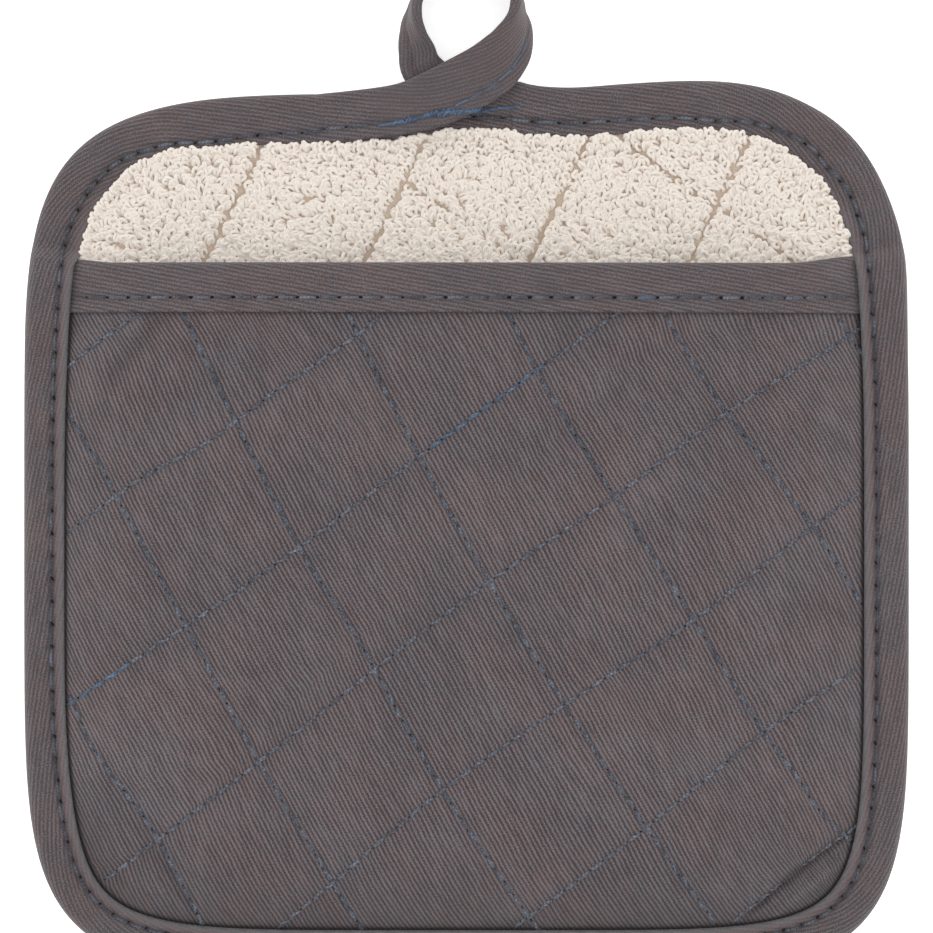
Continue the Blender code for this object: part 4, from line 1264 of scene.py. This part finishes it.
def hole_shadow_piece(name, centres, aheads, material, long, wide):
    """Painted needle-hole shadows: small dark lenses in the cloth, six-sided, longer along the seam, no two
    alike.
    """
    side = unit(np.cross(UP, aheads))
    angle = np.linspace(0.0, 2.0 * math.pi, HOLE_SHADOW_SIDES, endpoint=False)[None, :, None]
    draw = np.random.default_rng(61)
    own = draw.uniform(0.40, 1.20, (len(centres), 1, 1))
    centres = (centres + draw.normal(0.0, 0.12 * MM, (len(centres), 1)) * aheads)[:, None, :]
    long = np.broadcast_to(long, len(centres))[:, None, None]
    ring = (centres + own * long * np.cos(angle) * aheads[:, None, :]
            + own * wide * np.sin(angle) * side[:, None, :])
    points = np.concatenate([ring, centres + HOLE_SHADOW_THICK * UP, centres - HOLE_SHADOW_THICK * UP], axis=1)
    corner = np.arange(HOLE_SHADOW_SIDES)
    after = (corner + 1) % HOLE_SHADOW_SIDES
    upper = np.stack([corner, after, np.full(HOLE_SHADOW_SIDES, HOLE_SHADOW_SIDES)], axis=1)
    lower = np.stack([after, corner, np.full(HOLE_SHADOW_SIDES, HOLE_SHADOW_SIDES + 1)], axis=1)
    first = np.arange(len(centres)) * (HOLE_SHADOW_SIDES + 2)
    faces = np.concatenate([upper, lower])[None] + first[:, None, None]
    make_piece(name, points, faces.reshape(-1, 3), [material])


def seam_stitches(seams, face, allowed, side=1.0, share=0.84):
    """Stitch lines along seams where they show, each a share of the pitch, and the holes between them."""
    rows = []
    for seam in seams:
        curve, run = seam["curve"], seam["run"]
        starts = np.arange(0.0, run[-1] - QUILT_PITCH, QUILT_PITCH)
        starts = starts[allowed(*between(starts + 0.5 * QUILT_PITCH, run, curve).T)]
        if not len(starts):
            continue

        def place(along, lift, curve=curve, run=run):
            """Places along this seam, lifted off the face."""
            x, y = np.moveaxis(between(along, run, curve), -1, 0)
            return np.stack([x, y, face(x, y) + side * lift], axis=-1)

        first = starts + 0.5 * (1.0 - share) * QUILT_PITCH
        rows.append((stitch_lines(place, first, share * QUILT_PITCH, 0.10 * MM, 0.15 * MM),
                     *holes_between(place, starts, np.full(len(starts), 0.06 * MM))))
    return [np.concatenate(column) for column in zip(*rows)]


def strip_row(strip, inset, pitch, side, relief, first, last, share=0.92, sink=0.22 * MM):
    """A row of stitches along a strip at an inset from its fold, and its needle holes.

    Beside the pocket the holes' painted shadows lie nearer the lip, under its overhang.
    """
    starts = np.arange(math.ceil(first / pitch), math.floor(last / pitch)) * pitch
    beside = on_strip(strip, "beside", starts)

    def place(along, lift, shift=0.0):
        """Places along the row, lifted off the strip and shifted towards its lip."""
        rise = on_strip(strip, "leaf", along) + relief(along) + lift
        return strip_surface(strip, along, inset(along) + shift, side, rise)

    lines = stitch_lines(place, starts + 0.5 * (1.0 - share) * pitch, share * pitch, sink, 0.12 * MM)
    ends = place(starts, (0.08 + 0.03 * beside) * MM, (0.06 + 0.36 * beside) * MM)
    return lines, ends, unit(place(starts + 0.4 * MM, np.zeros(len(starts))) - ends)


# ---- towelling ----------------------------------------------------------------------------------

# Its loops' ranges: height and half width, and the angles that they lean at their foot and tip.
YARN_SIDES = 5
LOOP_POINTS = 10
LOOP_TALL = (2.2 * MM, 2.9 * MM)
LOOP_HALF_WIDTH = (0.50 * MM, 0.82 * MM)
LOOP_FOOT_OPEN = 0.42
FIRST_LEAN = (0.10, 0.40)
LAST_LEAN = (1.15, 1.75)
SHAKE = 0.32
RIM_STEP = 1.5 * MM
RIM_INSET = (0.40, 0.85)
SEAM_CLEAR = (0.38, 0.78)
RIM_CLEAR = 0.22 * MM
INTO_POCKET = 8.0 * MM


def loop_places(seed=21):
    """Where the towelling loops stand: a shaken, staggered grid over what shows of the back panel.

    A row follows the binding's lip. None stands on a seam or under the binding, and a short way into
    the pocket is covered too. Away and clear are the distance from the nearest seam and the way off it.
    """
    draw = np.random.default_rng(seed)
    rows = np.arange(PILE_LOW_Y, PILE_HIGH_Y, LOOP_SPACING * 0.87)
    columns = np.arange(-PILE_HALF_WIDTH, PILE_HALF_WIDTH, LOOP_SPACING)
    y, x = np.meshgrid(rows, columns, indexing="ij")
    x = x + (np.arange(len(rows)) % 2)[:, None] * 0.5 * LOOP_SPACING
    x = (x + draw.uniform(-SHAKE, SHAKE, x.shape) * LOOP_SPACING).ravel()
    y = (y + draw.uniform(-SHAKE, SHAKE, y.shape) * LOOP_SPACING).ravel()
    rim, inward, _, _ = outline_stations(RIM_STEP)
    inset = binding_width(rim, inward) + EDGE_CLEAR + draw.uniform(*RIM_INSET, len(rim)) * MM
    x, y = np.concatenate([np.column_stack([x, y]), rim + inset[:, None] * inward]).T
    keep = (inside_binding(x, y) > RIM_CLEAR) & (y > mouth_height(x) - INTO_POCKET)
    away = np.full(len(x), 1.0)
    clear = np.zeros(len(x))
    for seam, strength in GROOVES:
        across, _ = from_seam(seam, x, y)
        distance = np.abs(across) / strength
        way = seam["curve"][-1] - seam["curve"][0]
        side = np.sign(across) * (1.0 if seam["lead"] == 0 else -1.0)
        clear = np.where(distance < away, np.arctan2(way[0] * side, -way[1] * side), clear)
        away = np.minimum(away, distance)
    keep &= away > draw.uniform(*SEAM_CLEAR, len(x)) * MM
    return x[keep], y[keep], away[keep], clear[keep]


def terry_lines(x, y, away, clear, seed=22):
    """Towelling loops as lines of points: a teardrop that bends over as it rises, and its tip's share.

    With f from -pi to pi, the half width is r sin f and the height along the loop h (1 + cos f) / 2.
    The height then runs along an arc that leans more and more: the lean's integral in closed form.
    Loops beside the binding lean over it, and loops beside a seam lean off it.
    """
    draw = np.random.default_rng(seed)
    each = (len(x), 1)
    f = np.linspace(-1.0, 1.0, LOOP_POINTS)[None, :] * (math.pi - LOOP_FOOT_OPEN)
    inside = inside_binding(x, y)
    room = ((0.62 + 0.38 * ease(away / (2.4 * MM))) * (0.84 + 0.16 * ease(inside / (5.0 * MM))))[:, None]
    tall = draw.uniform(*LOOP_TALL, each) * room
    wide = draw.uniform(*LOOP_HALF_WIDTH, each)
    first = draw.uniform(*FIRST_LEAN, each)
    rim = 1.0 - ease(inside / (2.4 * MM))[:, None]
    last = draw.uniform(*LAST_LEAN, each) * (1.0 - 0.45 * rim)
    flow = 1.3 * soft_noise(x, y, 13.0 * MM, 23) + 2.1
    heading = flow[:, None] + draw.normal(0.0, 0.75, each)
    step = 0.3 * MM
    outward = np.arctan2(inside_binding(x, y - step) - inside_binding(x, y + step),
                         inside_binding(x - step, y) - inside_binding(x + step, y))
    beside = 0.55 * (1.0 - ramp(away, 0.7 * MM, 1.3 * MM))[:, None]
    for share, wanted in ((0.36 * rim, outward), (beside, clear)):
        wanted = wanted[:, None] + draw.normal(0.0, 0.40, each)
        heading = heading + share * np.angle(np.exp(1j * (wanted - heading)))
    spin = heading + 0.5 * math.pi + draw.normal(0.0, 0.30, each)
    curl = draw.normal(0.0, 0.40, each)
    climb = tall * 0.5 * (1.0 + np.cos(f))
    bend = (last - first) / tall
    up = (np.sin(first + bend * climb) - np.sin(first)) / bend
    out = (np.cos(first) - np.cos(first + bend * climb)) / bend
    half = wide * np.sin(f)
    turned = spin + curl * climb / tall
    px = x[:, None] + out * np.cos(heading) + half * np.cos(turned)
    py = y[:, None] + out * np.sin(heading) + half * np.sin(turned)
    foot = terry_ground(x, y)[:, None] - FOOT_DEPTH * (1.0 - rim)
    return np.stack([px, py, foot + up + 0.25 * half * curl], axis=-1), climb / tall


def make_towelling(materials):
    """All loops that show, joined into one piece for each third of the panel, with painted shade at their
    feet.
    """
    x, y, away, clear = loop_places()
    lines, climb = terry_lines(x, y, away, clear)
    own = np.clip(np.random.default_rng(24).normal(0.85, 0.12, len(x)), 0.4, 1.0)
    # Each loop's own tone, times painted shade that darkens it towards its foot.
    shade = own[:, None] * (0.55 + 0.45 * ease(climb / 0.6))
    third = np.digitize(x, (-31.0 * MM, 31.0 * MM))
    for number in range(3):
        chosen = third == number
        points, faces, caps, uv = tubes(lines[chosen], YARN_RADIUS, YARN_SIDES)
        make_piece(f"towelling_loops_{number + 1}", points, faces, [materials["terry"]], uv=uv,
                   caps=[caps], shades=np.repeat(shade[chosen].ravel(), YARN_SIDES))


# ---- pieces -------------------------------------------------------------------------------------

PAD_STEP = 1.2 * MM
PAD_STEP_TO = 92.0 * MM
CLOTH_STEP = 0.95 * MM


def both_sides(across, down, up):
    """A body grid from marks outwards to each side, downwards and upwards."""
    return body_grid(np.concatenate([-across[:0:-1], across]), np.concatenate([-down[:0:-1], up]))


def make_back_pad(materials):
    """The back panel: towelling ground above, quilted twill below."""
    x, y = both_sides(*(body_marks(reach - PANEL_INSET, PAD_STEP_TO, PAD_STEP_TO, PAD_STEP)
                        for reach in (HALF_WIDTH, REACH_DOWN, REACH_UP)))
    piece = panel_piece("back_pad", x, y, underside(x, y), terry_ground(x, y),
                        [materials["ground"], materials["panel"]], under_material=1)
    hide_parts("back_panel")


def pocket_shade(x, y):
    """Painted shade of the pocket's face: the crevices beside both bindings, its deeper troughs, its seams.

    Painted light on the slopes beside the side bindings and on the creases' ridges. The slope down to
    the lower edge gets painted shade, as it turns from the light.
    """
    beside = np.maximum(inside_binding(x, y) - 0.1 * MM, 0.0)
    flank = ramp(np.abs(x) / HALF_WIDTH, 0.70, 0.15)
    low = ramp(y, -66.0 * MM, -26.0 * MM)
    # Painted shade in crevices, under the mouth strip's lip, in troughs and along seams; painted light on
    # slopes and ridges.
    gloom = (0.60 + 0.16 * flank) * bell(beside, 0.0, 0.32 * MM)
    slope = 1.0 + 0.20 * flank * fading(beside, 1.8 * MM) * np.where(x < 0.0, 1.0, 0.5) * (1.0 - low)
    slope = slope - low * (0.34 * fading(beside, 12.0 * MM) + 0.07 * fading(beside, 1.5 * MM))
    below = np.maximum(mouth_height(x) - STRIP_WIDTH - y, 0.0)
    strip_lip_shade = 0.42 * bell(below, 0.0, 0.40 * MM) + 0.05 * fading(below, 1.2 * MM)
    crease = creases(x, y) / MM
    fold = (1.0 - 0.34 * np.clip(-crease, 0.0, 1.2)) * (1.0 + 0.26 * np.clip(crease - 0.25, 0.0, 0.8))
    seam = np.max([bell(from_seam(line, x, y)[0], 0.0, 1.1 * MM) for line in POCKET_SEAMS], axis=0)
    return slope * (1.0 - gloom) * (1.0 - strip_lip_shade) * fold * (1.0 - 0.05 * seam)


def make_pocket_cloth(materials):
    """The quilted pocket panel. Its painted shade is darkest in the crevice beside each binding."""
    side = body_marks(HALF_WIDTH - PANEL_INSET, 89.6 * MM, 94.0 * MM, CLOTH_STEP)
    down = body_marks(REACH_DOWN - PANEL_INSET, 90.0 * MM, 95.0 * MM, CLOTH_STEP)
    mouth = MOUTH_Y - PANEL_INSET - MIDDLE_Y
    lip = mouth - STRIP_WIDTH + PANEL_INSET
    up = body_marks(mouth, lip - 1.8 * MM, lip + 0.9 * MM, CLOTH_STEP)
    x, y = both_sides(side, down, up)
    stretch = (mouth_height(x[-1]) - PANEL_INSET - MIDDLE_Y) / (y[-1] - MIDDLE_Y)
    y = np.where(y > MIDDLE_Y, MIDDLE_Y + (y - MIDDLE_Y) * stretch, y)
    piece = panel_piece("pocket_cloth", x, y, pocket_low(x, y), pocket_high(x, y), [materials["panel"]],
                        shade=pocket_shade(x, y), steep=(-0.2, -0.33))
    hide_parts("pocket_panel")


def back_shows(x, y):
    """Whether a place on the back panel is clear of the edge binding."""
    return inside_binding(x, y) > 0.2 * MM


def pocket_shows(x, y):
    """Whether a place on the pocket is clear of the edge binding and of the mouth's strip."""
    return back_shows(x, y) & (y < mouth_height(x) - STRIP_WIDTH - 0.2 * MM)


def make_quilting(materials):
    """The pocket's rising and falling rows, two stretches in bluer thread, and the underside's rows."""
    rising, *rising_holes = seam_stitches(RISING_SEAMS, pocket_high, pocket_shows, share=0.96)
    falling, *falling_holes = seam_stitches(FALLING_SEAMS, pocket_high, pocket_shows, share=0.88)
    x, y, _ = rising[:, STITCH_POINTS // 2].T
    on_long_row = np.abs(from_seam(RISING_SEAMS[2], x, y)[0]) < 1.0 * MM
    blue = on_long_row & ((x < -76.0 * MM) | (np.abs(x - 4.8 * MM) < 13.0 * MM))
    thread_piece("rising_quilting_thread", plied(rising[~blue], 0.22 * MM, 71),
                 materials["rising_thread"], 41, radius=0.25 * MM)
    thread_piece("blue_quilting_thread", plied(rising[blue], 0.22 * MM, 72),
                 materials["blue_thread"], 48, radius=0.25 * MM)
    thread_piece("falling_quilting_thread", plied(falling, 0.26 * MM, 73),
                 materials["thread"], 46, bright=0.02, radius=0.28 * MM)
    holes, ahead = (np.concatenate(pair) for pair in zip(rising_holes, falling_holes))
    hole_shadow_piece("quilting_hole_shadows", holes, ahead, materials["hole"], *QUILT_HOLE_SHADOW)
    under, holes, ahead = seam_stitches(BACK_SEAMS, underside, back_shows, side=-1.0)
    thread_piece("underside_thread", under, materials["thread"], 42, sides=4)
    hole_shadow_piece("underside_hole_shadows", holes, ahead, materials["hole"], *QUILT_HOLE_SHADOW)


def make_edge_stitches(materials, tape):
    """The edge binding's rows above and below, its painted needle-hole shadows, and the row along the
    loop's edge.
    """
    def inset(along):
        """How far the row runs from the fold, a little less beside the pocket."""
        return on_strip(tape, "row", along) - 0.22 * MM * on_strip(tape, "beside", along)

    def rise(along):
        """How high the strip's own surface stands under the row."""
        row = on_strip(tape, "row", along)
        width, bend = (on_strip(tape, key, along) for key in ("width", "bend"))
        return edge_relief(along, row, width, row, bend)

    leaves = tape["tail_from"] + LOOP_ROW_FROM
    lines, ends, ahead = strip_row(tape, inset, BINDING_PITCH, 1.0, rise, EDGE_ROW_FROM, leaves)
    beside = 1.0 - ramp(lines[:, STITCH_POINTS // 2, 1], BESIDE_Y, BESIDE_EASE)
    thread_piece("edge_thread", lines, materials["thread"], 43, bright=-0.26 * beside,
                 radius=(0.36 - 0.05 * beside)[:, None] * MM)
    # The painted hole shadows are longer beside the pocket, where the lip overhangs the row.
    long = (0.45 + 0.75 * beside) * MM
    hole_shadow_piece("edge_hole_shadows", ends, ahead, materials["hole"], long, 0.30 * MM)
    lines, _, _ = strip_row(tape, inset, BINDING_PITCH, -1.0, np.zeros_like, EDGE_ROW_FROM, leaves)
    thread_piece("edge_thread_below", lines, materials["thread"], 50, bright=-0.05,
                 radius=0.30 * MM, sides=4)
    lines, _, _ = strip_row(tape, inset, 0.7 * BINDING_PITCH, 1.0, rise, leaves,
                            leaves + LOOP_ROW_LENGTH, share=1.04, sink=0.02 * MM)
    thread_piece("loop_thread", lines, materials["bar_thread"], 47, bright=0.25,
                 radius=0.20 * MM, dips=0.15)


def make_mouth_stitches(materials):
    """The mouth strip's row, one stitch of it in bluer thread, and its painted needle-hole shadows."""
    upper, _ = strip_lines(2)
    first = math.ceil((upper[0] + 10.0 * MM) / STRIP_PITCH)
    starts = np.arange(first, math.floor((upper[1] - 14.0 * MM) / STRIP_PITCH) + 1) * STRIP_PITCH

    def place(along, lift):
        """Places along the row, lifted off the strip."""
        return strip_place(along, along, np.full(np.shape(along), STRIP_ROW), 1.0,
                           STRIP_LEAF + mouth_relief(along, STRIP_ROW) + lift)

    lines = stitch_lines(place, starts + 0.03 * STRIP_PITCH, 0.94 * STRIP_PITCH, 0.22 * MM, 0.12 * MM)
    blue = np.abs(starts + 0.5 * STRIP_PITCH - 41.5 * MM) < 0.7 * STRIP_PITCH
    thread_piece("mouth_thread", lines[~blue], materials["thread"], 44, bright=-0.14, radius=0.32 * MM,
                 glint=0.50)
    thread_piece("blue_mouth_thread", lines[blue], materials["blue_thread"], 49, glint=0.30)
    ends = place(starts, np.full(len(starts), 0.09 * MM))
    ahead = np.tile([1.0, 0.0, 0.0], (len(ends), 1))
    hole_shadow_piece("mouth_hole_shadows", ends, ahead, materials["hole"], 0.50 * MM, 0.36 * MM)


def make_bar(materials, tape_face):
    """The bar over the loop's foot: close zigzag stitches across a short route, on whatever lies there.

    Each stitch goes from one side of the route to the other, and the next comes back.
    """
    route = through(BAR_ROUTE) * MM
    run = run_length(route[:, :2])
    starts = np.arange(0.0, run[-1] - BAR_PITCH, BAR_PITCH)
    draw = np.random.default_rng(51)
    turns = np.where(np.arange(len(starts)) % 2, 1.0, -1.0)
    swing = np.interp(starts, run, route[:, 2]) * turns * draw.uniform(0.3, 1.1, len(starts))
    length = BAR_PITCH * draw.uniform(2.0, 6.0, len(starts))
    x, y, _ = np.moveaxis(between(starts[:, None] + length[:, None] * STITCH_SHARE, run, route), -1, 0)
    y = y + swing[:, None] * (1.0 - 2.0 * STITCH_SHARE)
    cloud = tape_face.reshape(-1, 3)
    cloud = cloud[(np.abs(cloud[:, 0]) < 32.0 * MM) & (cloud[:, 1] > 70.0 * MM)]
    away = np.hypot(x.reshape(-1, 1) - cloud[:, 0], y.reshape(-1, 1) - cloud[:, 1])
    top = np.where(away < 0.75 * MM, cloud[:, 2], 0.0).max(axis=1).reshape(x.shape)
    arch = 1.0 - np.abs(2.0 * STITCH_SHARE - 1.0) ** 3
    lines = np.stack([x, y, top - 0.15 * MM + 0.28 * MM * arch], axis=-1)
    thread_piece("loop_bar_thread", lines, materials["bar_thread"], 45, bright=0.04, radius=0.25 * MM)


# ---- studio -------------------------------------------------------------------------------------

def make_floor():
    """A plain pale floor."""
    bpy.ops.mesh.primitive_plane_add(size=6.0, location=(0.0, 0.0, -0.1 * MM))
    floor = bpy.context.object
    floor.name = "floor"
    floor.data.materials.append(Nodes("pale_floor").finish({
        "Base Color": (0.93, 0.93, 0.93, 1.0), "Emission Color": (1.0, 1.0, 1.0, 1.0),
        "Emission Strength": 0.55, "Roughness": 0.9, "Specular IOR Level": 0.0}))


def make_light(name, place, size, power):
    """A large soft area light aimed at the pot holder."""
    data = bpy.data.lights.new(name, "AREA")
    data.shape = "DISK"
    data.size = size
    data.energy = power
    lamp = bpy.data.objects.new(name, data)
    bpy.context.scene.collection.objects.link(lamp)
    lamp.location = place
    x, y, z = place
    lamp.rotation_euler = (math.acos(z / math.hypot(x, y, z)), 0.0, math.atan2(-x, y))


def make_studio():
    """Soft light from the top left, a weaker one from the right, and an even pale surround."""
    scene = bpy.context.scene
    world = bpy.data.worlds.new("surround")
    world.use_nodes = True
    background = world.node_tree.nodes["Background"]
    background.inputs["Color"].default_value = (1.0, 1.0, 1.0, 1.0)
    background.inputs["Strength"].default_value = 1.30
    scene.world = world
    make_light("key", (-0.75, 0.85, 0.95), 0.7, 46.0)
    make_light("fill", (0.9, -0.5, 0.9), 0.9, 14.0)
    scene.view_settings.view_transform = "Standard"
    data = bpy.data.cameras.new("camera")
    data.lens = CAMERA_LENS
    data.sensor_width = SENSOR_WIDTH
    data.clip_end = 20.0
    camera = bpy.data.objects.new("camera", data)
    scene.collection.objects.link(camera)
    camera.location = (*FRAME_MIDDLE, FRAME_WIDTH * CAMERA_LENS / SENSOR_WIDTH + CAMERA_ABOVE)
    scene.camera = camera


def main():
    """Build the studio and every piece of the pot holder."""
    make_studio()
    make_floor()
    materials = make_materials()
    make_back_pad(materials)
    make_pocket_cloth(materials)
    make_pocket_binding(materials)
    tape, tape_face = make_edge_binding(materials)
    make_towelling(materials)
    make_quilting(materials)
    make_edge_stitches(materials, tape)
    make_mouth_stitches(materials)
    make_bar(materials, tape_face)


main()
